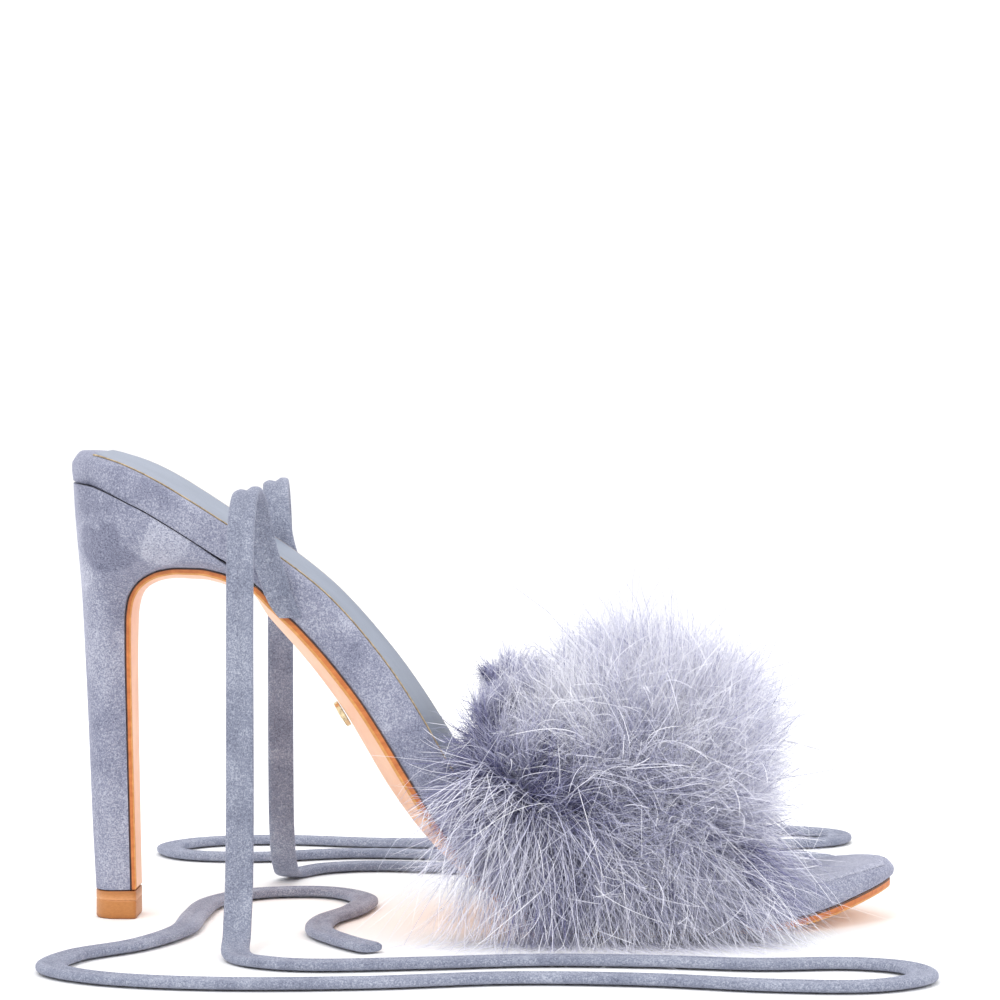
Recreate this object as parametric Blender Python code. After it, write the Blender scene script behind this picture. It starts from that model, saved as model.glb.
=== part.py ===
"""A right-foot high heel sandal with a feathered forefoot band and two leg ties.

The shoe stands on its heel tip and on the ball of its outsole, both on z = 0.
+X points to the toe, +Y to the inner side of the foot and +Z up.
Every piece is worked out from the last: the centre line of the footbed, its
half width, its thickness and how far its underside bellies out.
"""

import math

import bmesh
import bpy
import numpy as np

# Driving dimensions, in metres
SHOE_BACK = -0.1069
SHOE_TOE = 0.1069
GAP = 0.0003
SOCK_THICKNESS = 0.0012
SOCK_INSET = 0.0016
SOCK_DISH = 0.0007
RIM_ROUND = 0.0022
RIM_BULGE = 0.0003
SOLE_INSET = 0.0008
SOLE_TOE_INSET = 0.0013
HEEL_INSET = 0.0004
BAND_THICKNESS = 0.0018
BAND_CLEARANCE = 0.0007
BAND_LEAN_IN = 0.0050
TIP_HEIGHT = 0.0073
TIP_FRONT = -0.0903
TIP_ROUND = 0.0012
TIP_CORNER = 0.0012
TIP_STRAIGHT = 0.0040
TIP_MARGIN = 0.0002
STUD_RADIUS = 0.0036
STUD_THICKNESS = 0.0010
STUD_CLEARANCE = 0.00055
STUD_STATION = -0.0298
STUD_SIDE = -0.0065
TIE_WIDTH = 0.0070
TIE_THICKNESS = 0.0025
TIE_STEP = 0.0135
TIE_FLAT_BELOW = 0.0040
TIE_TURN_START = 5
FEATHER_ROOT_SHARE = 0.52
FEATHER_HEM = 0.0016
FEATHER_AROUND = 24
FEATHER_ALONG = 11
LOCK_TAPER = 0.62
LOCK_SWAY = 0.0009

# Colours
SUEDE = (0.33, 0.36, 0.50)
SOCK_LEATHER = (0.28, 0.34, 0.42)
SOLE_LEATHER = (0.80, 0.45, 0.28)
TIP_RUBBER = (0.52, 0.27, 0.09)
FEATHER = (0.55, 0.56, 0.72)
GOLD = (0.80, 0.66, 0.42)

# Where the round ends of the plan outline begin, and how blunt they are
HEEL_ROUND_START = -0.0860
HEEL_ROUND_POWER = 0.50
TOE_ROUND_START = 0.0580
TOE_ROUND_POWER = 0.57

# The last, a row for each section from heel to toe
# x, footbed top, half width, sideways shift, footbed thickness, belly of the underside
LAST = (
    (-0.1069, 0.1221, 0.0262, 0.0000, 0.0082, 0.0000),
    (-0.1000, 0.1215, 0.0262, 0.0000, 0.0082, 0.0000),
    (-0.0940, 0.1197, 0.0262, -0.0001, 0.0082, 0.0000),
    (-0.0880, 0.1172, 0.0262, -0.0002, 0.0082, 0.0000),
    (-0.0820, 0.1141, 0.0260, -0.0003, 0.0080, 0.0000),
    (-0.0760, 0.1105, 0.0254, -0.0005, 0.0080, 0.0000),
    (-0.0700, 0.1067, 0.0245, -0.0007, 0.0080, 0.0000),
    (-0.0640, 0.1028, 0.0235, -0.0010, 0.0080, 0.0000),
    (-0.0580, 0.0992, 0.0225, -0.0013, 0.0081, 0.0000),
    (-0.0520, 0.0953, 0.0216, -0.0015, 0.0088, 0.0018),
    (-0.0460, 0.0909, 0.0209, -0.0018, 0.0096, 0.0038),
    (-0.0400, 0.0859, 0.0205, -0.0020, 0.0100, 0.0044),
    (-0.0340, 0.0798, 0.0207, -0.0022, 0.0101, 0.0047),
    (-0.0280, 0.0728, 0.0213, -0.0022, 0.0101, 0.0050),
    (-0.0220, 0.0650, 0.0226, -0.0021, 0.0100, 0.0054),
    (-0.0160, 0.0560, 0.0243, -0.0020, 0.0099, 0.0060),
    (-0.0100, 0.0460, 0.0265, -0.0018, 0.0097, 0.0063),
    (-0.0040, 0.0362, 0.0288, -0.0015, 0.0094, 0.0058),
    (0.0020, 0.0274, 0.0311, -0.0013, 0.0090, 0.0045),
    (0.0080, 0.0204, 0.0334, -0.0011, 0.0086, 0.0031),
    (0.0140, 0.0155, 0.0354, -0.0008, 0.0082, 0.0017),
    (0.0200, 0.0125, 0.0370, -0.0005, 0.0078, 0.0006),
    (0.0280, 0.0106, 0.0381, 0.0002, 0.0075, 0.0000),
    (0.0360, 0.0101, 0.0382, 0.0008, 0.0075, 0.0000),
    (0.0480, 0.0101, 0.0368, 0.0016, 0.0075, 0.0000),
    (0.0580, 0.0101, 0.0346, 0.0025, 0.0075, 0.0000),
    (0.0660, 0.0102, 0.0340, 0.0032, 0.0074, 0.0000),
    (0.0740, 0.0106, 0.0338, 0.0039, 0.0074, 0.0000),
    (0.0820, 0.0116, 0.0336, 0.0046, 0.0073, 0.0000),
    (0.0880, 0.0126, 0.0335, 0.0053, 0.0070, 0.0000),
    (0.0940, 0.0138, 0.0334, 0.0060, 0.0065, 0.0000),
    (0.1000, 0.0149, 0.0334, 0.0067, 0.0058, 0.0000),
    (0.1069, 0.0159, 0.0334, 0.0074, 0.0046, 0.0000),
)
LAST_TOP, LAST_HALF, LAST_SHIFT, LAST_SLAB, LAST_BELLY = range(1, 6)

# The front and the underside of the heel block, which the outsole follows, from the
# tip up the breast and forward under the seat
# x, z, half width, belly
BREAST = (
    (-0.0919, 0.0076, 0.0062, 0.0000),
    (-0.0923, 0.0280, 0.0066, 0.0000),
    (-0.0927, 0.0500, 0.0072, 0.0000),
    (-0.0929, 0.0690, 0.0080, 0.0000),
    (-0.0928, 0.0780, 0.0086, 0.0001),
    (-0.0921, 0.0832, 0.0093, 0.0003),
    (-0.0903, 0.0868, 0.0102, 0.0006),
    (-0.0872, 0.0896, 0.0115, 0.0010),
    (-0.0829, 0.0914, 0.0134, 0.0014),
    (-0.0780, 0.0921, 0.0155, 0.0018),
    (-0.0725, 0.0921, 0.0176, 0.0020),
    (-0.0670, 0.0912, 0.0195, 0.0021),
    (-0.0615, 0.0893, 0.0209, 0.0020),
)

# The heel block, a row for each ring from the tip to the seat
# share of the breast curve, back x, back z, greatest half width, share of the seat's outline
HEEL = (
    (0.000, -0.1015, 0.0076, 0.0068, 0.00),
    (0.160, -0.1024, 0.0250, 0.0070, 0.00),
    (0.330, -0.1031, 0.0440, 0.0076, 0.00),
    (0.480, -0.1038, 0.0620, 0.0085, 0.00),
    (0.590, -0.1044, 0.0760, 0.0098, 0.02),
    (0.660, -0.1048, 0.0850, 0.0114, 0.06),
    (0.720, -0.1053, 0.0925, 0.0140, 0.16),
    (0.780, -0.1058, 0.0985, 0.0172, 0.34),
    (0.840, -0.1062, 0.1035, 0.0204, 0.56),
    (0.900, -0.1065, 0.1075, 0.0228, 0.76),
    (0.955, -0.1067, 0.1108, 0.0244, 0.92),
    (1.000, -0.1068, 0.1131, 0.0255, 1.00),
)
HEEL_BACK_X, HEEL_BACK_Z, HEEL_HALF = 1, 2, 3
HEEL_RINGS = 21
HEEL_SIDES = 10
HEEL_WIDEST = 0.50
SEAT_AHEAD = 0.0035
LIP_DROP = 0.0005
LIP_START = -0.0730

# Thickness of the outsole, at places along the footbed and on the breast
# x, thickness
SOLE_THICKNESS = (
    (-0.1069, 0.0013),
    (-0.0800, 0.0014),
    (-0.0500, 0.0018),
    (-0.0100, 0.0020),
    (0.0200, 0.0023),
    (0.1069, 0.0023),
)

# The forefoot band, a row for each section from its rear edge to its front edge
# where it leaves the footbed, crown x, crown z
BAND = (
    (-0.0010, 0.0020, 0.0605),
    (0.0150, 0.0185, 0.0560),
    (0.0310, 0.0350, 0.0500),
    (0.0470, 0.0500, 0.0440),
    (0.0620, 0.0635, 0.0375),
)
BAND_SQUARENESS = 2.35
BAND_AROUND = 18
BAND_ALONG = 8

# How far the feathers reach, a row for each section of the band
# share of the band, reach over the crown, at the inner side and at the outer side, splay
FEATHERS = (
    (0.00, 0.0130, 0.0200, 0.0235, -1.30),
    (0.25, 0.0230, 0.0172, 0.0205, -0.55),
    (0.50, 0.0330, 0.0145, 0.0190, -0.10),
    (0.75, 0.0370, 0.0166, 0.0215, 0.40),
    (1.00, 0.0310, 0.0205, 0.0250, 1.30),
)

# The route of each tie: out beside the rim, over in a loop, down to the floor and along it
# x, y, z
OUTER_TIE = (
    (-0.0512, -0.0244, 0.0852),
    (-0.0530, -0.0247, 0.0908),
    (-0.0548, -0.0252, 0.0965),
    (-0.0562, -0.0276, 0.1040),
    (-0.0572, -0.0345, 0.1108),
    (-0.0578, -0.0430, 0.1118),
    (-0.0580, -0.0510, 0.1058),
    (-0.0580, -0.0548, 0.0960),
    (-0.0580, -0.0560, 0.0780),
    (-0.0580, -0.0562, 0.0560),
    (-0.0580, -0.0566, 0.0340),
    (-0.0580, -0.0590, 0.0165),
    (-0.0578, -0.0660, 0.0055),
    (-0.0566, -0.0770, 0.0016),
    (-0.0490, -0.0872, 0.0016),
    (-0.0350, -0.0910, 0.0016),
    (-0.0100, -0.0868, 0.0016),
    (0.0160, -0.0815, 0.0016),
    (0.0430, -0.0822, 0.0016),
    (0.0680, -0.0862, 0.0016),
    (0.0900, -0.0838, 0.0016),
    (0.1040, -0.0905, 0.0016),
    (0.1060, -0.1060, 0.0016),
    (0.0930, -0.1175, 0.0016),
    (0.0700, -0.1170, 0.0016),
    (0.0420, -0.1098, 0.0016),
    (0.0100, -0.1085, 0.0016),
    (-0.0230, -0.1165, 0.0016),
    (-0.0560, -0.1190, 0.0016),
    (-0.0830, -0.1130, 0.0016),
    (-0.0985, -0.0985, 0.0016),
    (-0.0960, -0.0780, 0.0016),
    (-0.0830, -0.0600, 0.0016),
    (-0.0750, -0.0360, 0.0016),
    (-0.0745, -0.0100, 0.0016),
    (-0.0725, 0.0150, 0.0016),
    (-0.0620, 0.0330, 0.0016),
    (-0.0440, 0.0360, 0.0016),
    (-0.0330, 0.0220, 0.0016),
    (-0.0340, 0.0020, 0.0016),
    (-0.0400, -0.0170, 0.0016),
    (-0.0400, -0.0360, 0.0016),
    (-0.0330, -0.0520, 0.0016),
    (-0.0250, -0.0640, 0.0016),
)
INNER_TIE = (
    (-0.0512, 0.02145, 0.0852),
    (-0.0530, 0.02175, 0.0908),
    (-0.0548, 0.02225, 0.0965),
    (-0.0562, 0.0246, 0.1040),
    (-0.0572, 0.0315, 0.1108),
    (-0.0578, 0.0400, 0.1118),
    (-0.0580, 0.0480, 0.1058),
    (-0.0580, 0.0518, 0.0960),
    (-0.0580, 0.0530, 0.0780),
    (-0.0580, 0.0532, 0.0560),
    (-0.0580, 0.0536, 0.0340),
    (-0.0580, 0.0560, 0.0165),
    (-0.0578, 0.0630, 0.0055),
    (-0.0566, 0.0740, 0.0016),
    (-0.0480, 0.0860, 0.0016),
    (-0.0320, 0.0910, 0.0016),
    (-0.0060, 0.0850, 0.0016),
    (0.0220, 0.0780, 0.0016),
    (0.0500, 0.0800, 0.0016),
    (0.0760, 0.0830, 0.0016),
    (0.0930, 0.0930, 0.0016),
    (0.0940, 0.1100, 0.0016),
    (0.0780, 0.1210, 0.0016),
    (0.0500, 0.1160, 0.0016),
    (0.0200, 0.1090, 0.0016),
    (-0.0120, 0.1160, 0.0016),
    (-0.0430, 0.1190, 0.0016),
    (-0.0690, 0.1100, 0.0016),
    (-0.0900, 0.1130, 0.0016),
    (-0.0980, 0.1290, 0.0016),
    (-0.0880, 0.1450, 0.0016),
    (-0.0660, 0.1500, 0.0016),
    (-0.0360, 0.1440, 0.0016),
    (-0.0060, 0.1450, 0.0016),
    (0.0220, 0.1480, 0.0016),
    (0.0500, 0.1460, 0.0016),
    (0.0780, 0.1440, 0.0016),
    (0.0980, 0.1520, 0.0016),
    (0.1000, 0.1690, 0.0016),
    (0.0840, 0.1790, 0.0016),
    (0.0600, 0.1760, 0.0016),
    (0.0400, 0.1740, 0.0016),
)


def curve_through(rows, column, at):
    """The smooth curve through one column of a table, with no overshoot between its rows."""
    table = np.array(rows)
    xs, ys = table[:, 0], table[:, column]
    step = np.diff(xs)
    rise = np.diff(ys) / step
    slope = np.zeros(len(xs))
    same_way = rise[:-1] * rise[1:] > 0
    before, after = 2 * step[1:] + step[:-1], step[1:] + 2 * step[:-1]
    safe = np.where(same_way, rise[:-1] * rise[1:], 1.0)
    mean = (before + after) * safe / (before * rise[1:] + after * rise[:-1] + 1e-30)
    slope[1:-1] = np.where(same_way, mean, 0.0)
    slope[0], slope[-1] = rise[0], rise[-1]
    at = np.clip(np.asarray(at, float), xs[0], xs[-1])
    row = np.clip(np.searchsorted(xs, at, side="right") - 1, 0, len(step) - 1)
    t = (at - xs[row]) / step[row]
    return (
        ys[row] * (1 + 2 * t) * (1 - t) ** 2
        + slope[row] * step[row] * t * (1 - t) ** 2
        + ys[row + 1] * t**2 * (3 - 2 * t)
        + slope[row + 1] * step[row] * t**2 * (t - 1)
    )


def ease(value):
    """0 to 1 with level ends."""
    value = np.clip(value, 0.0, 1.0)
    return value * value * (3 - 2 * value)


def half_width(x):
    """Half the footbed's width, round at the heel and almond-shaped at the toe."""
    x = np.asarray(x, float)
    into_heel = np.clip((HEEL_ROUND_START - x) / (HEEL_ROUND_START - SHOE_BACK), 0, 1)
    into_toe = np.clip((x - TOE_ROUND_START) / (SHOE_TOE - TOE_ROUND_START), 0, 1)
    heel_end = (1 - into_heel**2) ** HEEL_ROUND_POWER
    toe_end = (1 - into_toe**2) ** TOE_ROUND_POWER
    return curve_through(LAST, LAST_HALF, x) * heel_end * toe_end


class Surface:
    """A long surface that other sizes are measured from: its line, and which way is down into it."""

    def __init__(self, line, down):
        self.line = line
        self.down = down
        steps = np.linalg.norm(np.diff(line, axis=0), axis=1)
        self.along = np.concatenate([[0.0], np.cumsum(steps)])
        self.length = self.along[-1]

    def line_at(self, s):
        return np.stack([np.interp(s, self.along, self.line[:, k]) for k in (0, 1)], axis=-1)

    def down_at(self, s):
        down = np.stack([np.interp(s, self.along, self.down[:, k]) for k in (0, 1)], axis=-1)
        return down / np.linalg.norm(down, axis=-1, keepdims=True)

    def station(self, x):
        """How far along the line this x is."""
        return np.interp(x, self.line[:, 0], self.along)

    def place(self, s, y, depth):
        """World points at s along the line, y across it and depth below it."""
        flat = self.line_at(s) + self.down_at(s) * np.asarray(depth)[..., None]
        return np.stack([flat[..., 0], np.broadcast_to(y, flat[..., 0].shape), flat[..., 1]], axis=-1)


def make_footbed_surface():
    """The top of the footbed. Down is square to it, and straight down at both ends."""
    x = np.linspace(SHOE_BACK, SHOE_TOE, 900)
    z = curve_through(LAST, LAST_TOP, x)
    tilt = np.arctan(np.gradient(z, x))
    square = ease((x - SHOE_BACK) / 0.030) * (1 - 0.8 * ease((x - 0.070) / 0.030))
    tilt = tilt * square
    return Surface(np.stack([x, z], axis=1), np.stack([np.sin(tilt), -np.cos(tilt)], axis=1))


FOOTBED = make_footbed_surface()


def stations(start, end, count, bunching):
    """Places from start to end, drawn towards both ends by the bunching."""
    even = np.linspace(0, 1, count)
    bunched = (1 - np.cos(math.pi * even)) / 2
    return start + (end - start) * ((1 - bunching) * even + bunching * bunched)


FOOTBED_ROWS = stations(0.00012, FOOTBED.length - 0.00012, 44, 0.55)


def footbed_x(s):
    return FOOTBED.line_at(s)[..., 0]


def slab_depth(s):
    return curve_through(LAST, LAST_SLAB, footbed_x(s))


def across_share(s, y):
    """0 on the centre line and 1 at the edge."""
    x = footbed_x(s)
    half = np.maximum(half_width(x), 0.002)
    return np.clip(np.abs(y - curve_through(LAST, LAST_SHIFT, x)) / half, 0, 1)


def footbed_bottom_depth(s, y):
    belly = curve_through(LAST, LAST_BELLY, footbed_x(s))
    return slab_depth(s) + belly * (1 - across_share(s, y) ** 2)


# The breast and the underside of the heel block

def breast_line(share):
    """x, z, half width and belly at a share of the way from the tip to the front of the heel block."""
    table = np.array(BREAST)
    steps = np.linalg.norm(np.diff(table[:, :2], axis=0), axis=1)
    along = np.concatenate([[0.0], np.cumsum(steps)]) / steps.sum()
    rows = np.column_stack([along, table])
    return [curve_through(rows, column, share) for column in (1, 2, 3, 4)]


def breast_normal(share):
    """Which way the breast faces: forward on the stem and down under the seat."""
    ahead = np.clip(np.asarray(share) + 0.01, 0, 1)
    behind = np.clip(np.asarray(share) - 0.01, 0, 1)
    x1, z1 = breast_line(ahead)[:2]
    x0, z0 = breast_line(behind)[:2]
    length = np.hypot(x1 - x0, z1 - z0)
    return np.stack([(z1 - z0) / length, -(x1 - x0) / length], axis=-1)


def make_sole_surface():
    """The top edge of the outsole, up the breast, along the heel block and on under the footbed."""
    share = np.linspace(0, 1, 200)
    x, z, half, belly = breast_line(share)
    normal = breast_normal(share)
    rear = np.stack([x, z], axis=1) + normal * GAP
    s = np.linspace(FOOTBED.station(-0.0520), FOOTBED.length, 700)
    depth = slab_depth(s) + GAP
    front = FOOTBED.line_at(s) + FOOTBED.down_at(s) * depth[:, None]
    line = np.concatenate([rear, front])
    down = np.concatenate([normal, FOOTBED.down_at(s)])
    surface = Surface(line, down)
    fore_x = footbed_x(s)
    fore_half = half_width(fore_x) - SOLE_INSET
    surface.half = np.concatenate([half, np.maximum(fore_half, 0.0001)])
    surface.belly_half = np.concatenate([half, np.maximum(half_width(fore_x), 0.002)])
    surface.shift = np.concatenate([0 * half, curve_through(LAST, LAST_SHIFT, fore_x)])
    surface.belly = np.concatenate([belly, curve_through(LAST, LAST_BELLY, fore_x)])
    surface.thick = curve_through(SOLE_THICKNESS, 1, line[:, 0])
    surface.heel_end = surface.along[len(share) - 1]
    surface.fore_rows = np.interp(FOOTBED_ROWS, s, surface.along[len(share) :])
    return surface


SOLE = make_sole_surface()


def along_sole(name, s):
    return np.interp(s, SOLE.along, getattr(SOLE, name))


def sole_top_depth(s, y):
    half = along_sole("belly_half", s)
    share = np.clip(np.abs(y - along_sole("shift", s)) / half, 0, 1)
    return along_sole("belly", s) * (1 - share**2)


def sole_bottom_depth(s, y):
    return sole_top_depth(s, y) + along_sole("thick", s)


# Mesh building

def new_object(name, mesh_builder, colour, roughness, metallic=0.0):
    """One named object from a filled bmesh, with its own material."""
    builder = bmesh.new()
    mesh_builder(builder)
    bmesh.ops.recalc_face_normals(builder, faces=builder.faces)
    mesh = bpy.data.meshes.new(name)
    builder.to_mesh(mesh)
    builder.free()
    thing = bpy.data.objects.new(name, mesh)
    bpy.context.scene.collection.objects.link(thing)
    mesh.shade_smooth()
    mesh.set_sharp_from_angle(angle=math.radians(40))
    material = bpy.data.materials.new(name)
    material.use_nodes = True
    shader = material.node_tree.nodes["Principled BSDF"]
    shader.inputs["Base Color"].default_value = (*colour, 1.0)
    shader.inputs["Roughness"].default_value = roughness
    shader.inputs["Metallic"].default_value = metallic
    mesh.materials.append(material)
    return thing


def add_ring(builder, points):
    return [builder.verts.new(tuple(point)) for point in points]


def join_rings(builder, first, second):
    count = len(first)
    for k in range(count):
        after = (k + 1) % count
        builder.faces.new((first[k], first[after], second[after], second[k]))


def join_rows(builder, first, second):
    for k in range(len(first) - 1):
        builder.faces.new((first[k], first[k + 1], second[k + 1], second[k]))


def offset_loop(loop, inset):
    """A closed outline moved inwards by this much."""
    ahead = np.roll(loop, -1, axis=0) - loop
    behind = loop - np.roll(loop, 1, axis=0)
    ahead /= np.linalg.norm(ahead, axis=1, keepdims=True)
    behind /= np.linalg.norm(behind, axis=1, keepdims=True)
    along = ahead + behind
    along /= np.linalg.norm(along, axis=1, keepdims=True)
    outward = np.stack([-along[:, 1], along[:, 0]], axis=1)
    return loop - outward * inset


def fill_plate(builder, surface, s, inner, outer, levels, top_depth, bottom_depth, across):
    """A closed plate that follows a surface.

    inner and outer are the outline's y at each station s. levels are rings from the top
    edge to the bottom edge: an inset, and the share of the way from top to bottom.
    """
    count = len(s)
    loop = np.concatenate([np.stack([s, inner], 1), np.stack([s, outer], 1)[::-1]])
    rings = []
    for inset, share in levels:
        edge = offset_loop(loop, inset)
        depth = (1 - share) * top_depth(edge[:, 0], edge[:, 1])
        depth = depth + share * bottom_depth(edge[:, 0], edge[:, 1])
        rings.append((edge, add_ring(builder, surface.place(edge[:, 0], edge[:, 1], depth))))
    for first, second in zip(rings, rings[1:]):
        join_rings(builder, first[1], second[1])
    for (edge, verts), depth_of in ((rings[0], top_depth), (rings[-1], bottom_depth)):
        rows = []
        for k in range(1, count - 1):
            start, end = edge[k], edge[2 * count - 1 - k]
            spots = np.array([start + (end - start) * j / across for j in range(1, across)])
            depth = depth_of(spots[:, 0], spots[:, 1])
            middle = add_ring(builder, surface.place(spots[:, 0], spots[:, 1], depth))
            rows.append([verts[k], *middle, verts[2 * count - 1 - k]])
        for first, second in zip(rows, rows[1:]):
            join_rows(builder, first, second)
        builder.faces.new((verts[0], verts[2 * count - 1], *reversed(rows[0])))
        builder.faces.new((verts[count - 1], verts[count], *reversed(rows[-1])))


def outline_on_footbed(s, inset=0.0):
    x = footbed_x(s)
    half = np.maximum(half_width(x) - inset, 0.0006)
    shift = curve_through(LAST, LAST_SHIFT, x)
    return shift + half, shift - half


# The pieces

def make_footbed():
    s = FOOTBED_ROWS
    inner, outer = outline_on_footbed(s)
    levels = (
        (RIM_ROUND, 0.0),
        (0.35 * RIM_ROUND, 0.07),
        (0.0, 0.24),
        (-RIM_BULGE, 0.55),
        (0.0, 0.92),
        (0.0008, 1.0),
    )
    return new_object(
        "footbed",
        lambda builder: fill_plate(
            builder, FOOTBED, s, inner, outer, levels,
            lambda s, y: 0.0 * s, footbed_bottom_depth, 6,
        ),
        SUEDE,
        0.95,
    )


def sock_top_depth(s, y):
    dish = SOCK_DISH * across_share(s, y) ** 2
    return -GAP - SOCK_THICKNESS + SOCK_DISH - dish


def make_sock():
    s = stations(SOCK_INSET, FOOTBED.length - SOCK_INSET, 36, 0.5)
    inner, outer = outline_on_footbed(s, SOCK_INSET)
    levels = ((0.0010, 0.0), (0.0, 0.55), (0.0, 1.0))
    return new_object(
        "sock",
        lambda builder: fill_plate(
            builder, FOOTBED, s, inner, outer, levels,
            sock_top_depth, lambda s, y: 0.0 * s - GAP, 2,
        ),
        SOCK_LEATHER,
        0.55,
    )


def make_outsole():
    toe = SOLE.length - SOLE_TOE_INSET
    fore = SOLE.fore_rows
    fore = fore[(fore > fore[0] + 1e-6) & (fore < toe - 0.0004)]
    s = np.concatenate(
        [np.linspace(0, 0.070, 7), np.linspace(0.076, SOLE.heel_end, 10), fore, [toe]]
    )
    half = np.maximum(along_sole("half", s), 0.0012)
    shift = along_sole("shift", s)
    levels = ((0.0, 0.0), (0.0, 0.75), (0.0004, 1.0))
    return new_object(
        "outsole",
        lambda builder: fill_plate(
            builder, SOLE, s, shift + half, shift - half, levels,
            sole_top_depth, sole_bottom_depth, 6,
        ),
        SOLE_LEATHER,
        0.5,
    )


def heel_ring(row, seat_front):
    """One ring of the heel block: its flat front first, then round the back."""
    share, back_x, back_z, widest, seat = row
    front_x, front_z, front_half, belly = (float(v) for v in breast_line(share))
    facing = breast_normal(share)
    points = []
    for across in (-1.0, -0.5, 0.0, 0.5, 1.0):
        push = belly * (1 - across**2)
        points.append(
            (front_x + facing[0] * push, across * front_half, front_z + facing[1] * push)
        )
    around = [(1 - math.cos(math.pi * k / HEEL_SIDES)) / 2 for k in range(1, HEEL_SIDES)]
    side = []
    for t in around:
        x = front_x + (back_x - front_x) * t
        z = front_z + (back_z - front_z) * t
        if t < HEEL_WIDEST:
            narrow = front_half / widest
            stem = widest * (narrow + (1 - narrow) * math.sin(math.pi / 2 * t / HEEL_WIDEST))
        else:
            stem = widest * math.sqrt(1 - ((t - HEEL_WIDEST) / (1 - HEEL_WIDEST)) ** 2)
        seat_half = float(half_width(x + SEAT_AHEAD * seat)) - HEEL_INSET
        y = stem + (seat_half - stem) * seat * ease((x - SHOE_BACK) / 0.004)
        bend = seat**2 * (seat_curve(x) - seat_chord(x, seat_front))
        side.append((x, y, z + bend))
    back = [(back_x, 0.0, back_z)]
    return points + side + back + [(x, -y, z) for x, y, z in reversed(side)]


def seat_curve(x):
    """Height of the top of the heel block over this x: the footbed's underside less the gap."""
    s = np.linspace(0, FOOTBED.length * 0.5, 400)
    under = FOOTBED.line_at(s) + FOOTBED.down_at(s) * (slab_depth(s) + GAP)[:, None]
    drop = LIP_DROP * float(ease((x - LIP_START) / 0.008))
    return float(np.interp(x, under[:, 0], under[:, 1])) - drop


def seat_chord(x, front):
    """The straight line from the front of the heel block to its back."""
    back_x, back_z = HEEL[-1][HEEL_BACK_X], HEEL[-1][HEEL_BACK_Z]
    share = (x - front[0]) / (back_x - front[0])
    return front[1] + (back_z - front[1]) * share


def make_heel():
    front_x, front_z = (float(v) for v in breast_line(1.0)[:2])
    rows = np.column_stack([np.arange(len(HEEL)), np.array(HEEL)])
    fine = np.linspace(0, len(HEEL) - 1, HEEL_RINGS)
    columns = [curve_through(rows, k + 1, fine) for k in range(5)]

    def build(builder):
        rings = []
        for row in zip(*columns):
            rings.append(add_ring(builder, heel_ring([float(v) for v in row], (front_x, front_z))))
        lip = heel_ring(HEEL[-1], (front_x, front_z))
        raised = []
        for x, y, z in lip:
            lift = seat_curve(x) - z if x > front_x - 0.002 else 0.0
            raised.append((x, y, z + max(lift, 0.00002)))
        top = add_ring(builder, raised)
        rings.append(top)
        for first, second in zip(rings, rings[1:]):
            join_rings(builder, first, second)
        close_ring(builder, rings[0])
        close_ring(builder, top)

    return new_object("heel", build, SUEDE, 0.95)


def close_ring(builder, ring):
    """Strips from side to side across a ring that starts with its straight front."""
    count = len(ring)
    front = 4
    builder.faces.new((ring[0], ring[1], ring[2], ring[3], ring[4], ring[5], ring[count - 1]))
    first, last = front + 1, count - 1
    while last - first > 2:
        builder.faces.new((ring[first], ring[first + 1], ring[last - 1], ring[last]))
        first, last = first + 1, last - 1
    builder.faces.new((ring[first], ring[first + 1], ring[last]))


def tip_ring(z, inset):
    """The tip's outline at one height, a D with its flat to the front."""
    back = HEEL[0][HEEL_BACK_X] + inset
    front = TIP_FRONT - inset * 0.5
    half = HEEL[0][HEEL_HALF] + TIP_MARGIN - inset
    shoulder = front - TIP_CORNER
    points = [(front, TIP_CORNER - half), (front, half - TIP_CORNER), (shoulder, half)]
    middle = shoulder - TIP_STRAIGHT
    bends = 8
    for k in range(bends + 1):
        angle = math.pi / 2 - math.pi * k / bends
        points.append((middle - (middle - back) * math.cos(angle), half * math.sin(angle)))
    points.append((shoulder, -half))
    return [(x, y, z) for x, y in points]


def make_heel_tip():
    def build(builder):
        levels = ((0.0, TIP_ROUND), (TIP_ROUND, 0.0), (TIP_HEIGHT, 0.0))
        rings = [add_ring(builder, tip_ring(z, inset)) for z, inset in levels]
        for first, second in zip(rings, rings[1:]):
            join_rings(builder, first, second)
        builder.faces.new(rings[0])
        builder.faces.new(rings[-1])

    return new_object("heel_tip", build, TIP_RUBBER, 0.45)


def band_section(share, offset, count):
    """Points over the foot at one section of the band, from the outer hem to the inner hem.

    offset is the distance out from the band's inner face.
    """
    index = share * (len(BAND) - 1)
    rows = np.column_stack([np.arange(len(BAND)), np.array(BAND)])
    foot, crown_x, crown_z = (float(curve_through(rows, k + 1, index)) for k in range(3))
    s = float(FOOTBED.station(foot))
    base = FOOTBED.line_at(s)
    rise = np.array([crown_x, crown_z]) - base
    half = float(half_width(foot)) + BAND_CLEARANCE + offset
    shift = float(curve_through(LAST, LAST_SHIFT, foot))
    height = float(np.linalg.norm(rise))
    up = rise / height
    power = 2 / BAND_SQUARENESS
    points = []
    for k in range(count + 1):
        angle = math.pi * k / count
        side = math.copysign(abs(math.cos(angle)) ** power, math.cos(angle))
        lift = math.sin(angle) ** power
        y = shift - half * side + BAND_LEAN_IN * lift
        spot = base + up * (height + offset) * lift
        points.append((spot[0], y, spot[1]))
    leg = FOOTBED.line_at(s) + FOOTBED.down_at(s) * float(slab_depth(s))
    outer_hem = (leg[0], shift - half, leg[1])
    inner_hem = (leg[0], shift + half, leg[1])
    return [outer_hem, *points, inner_hem]


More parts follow.
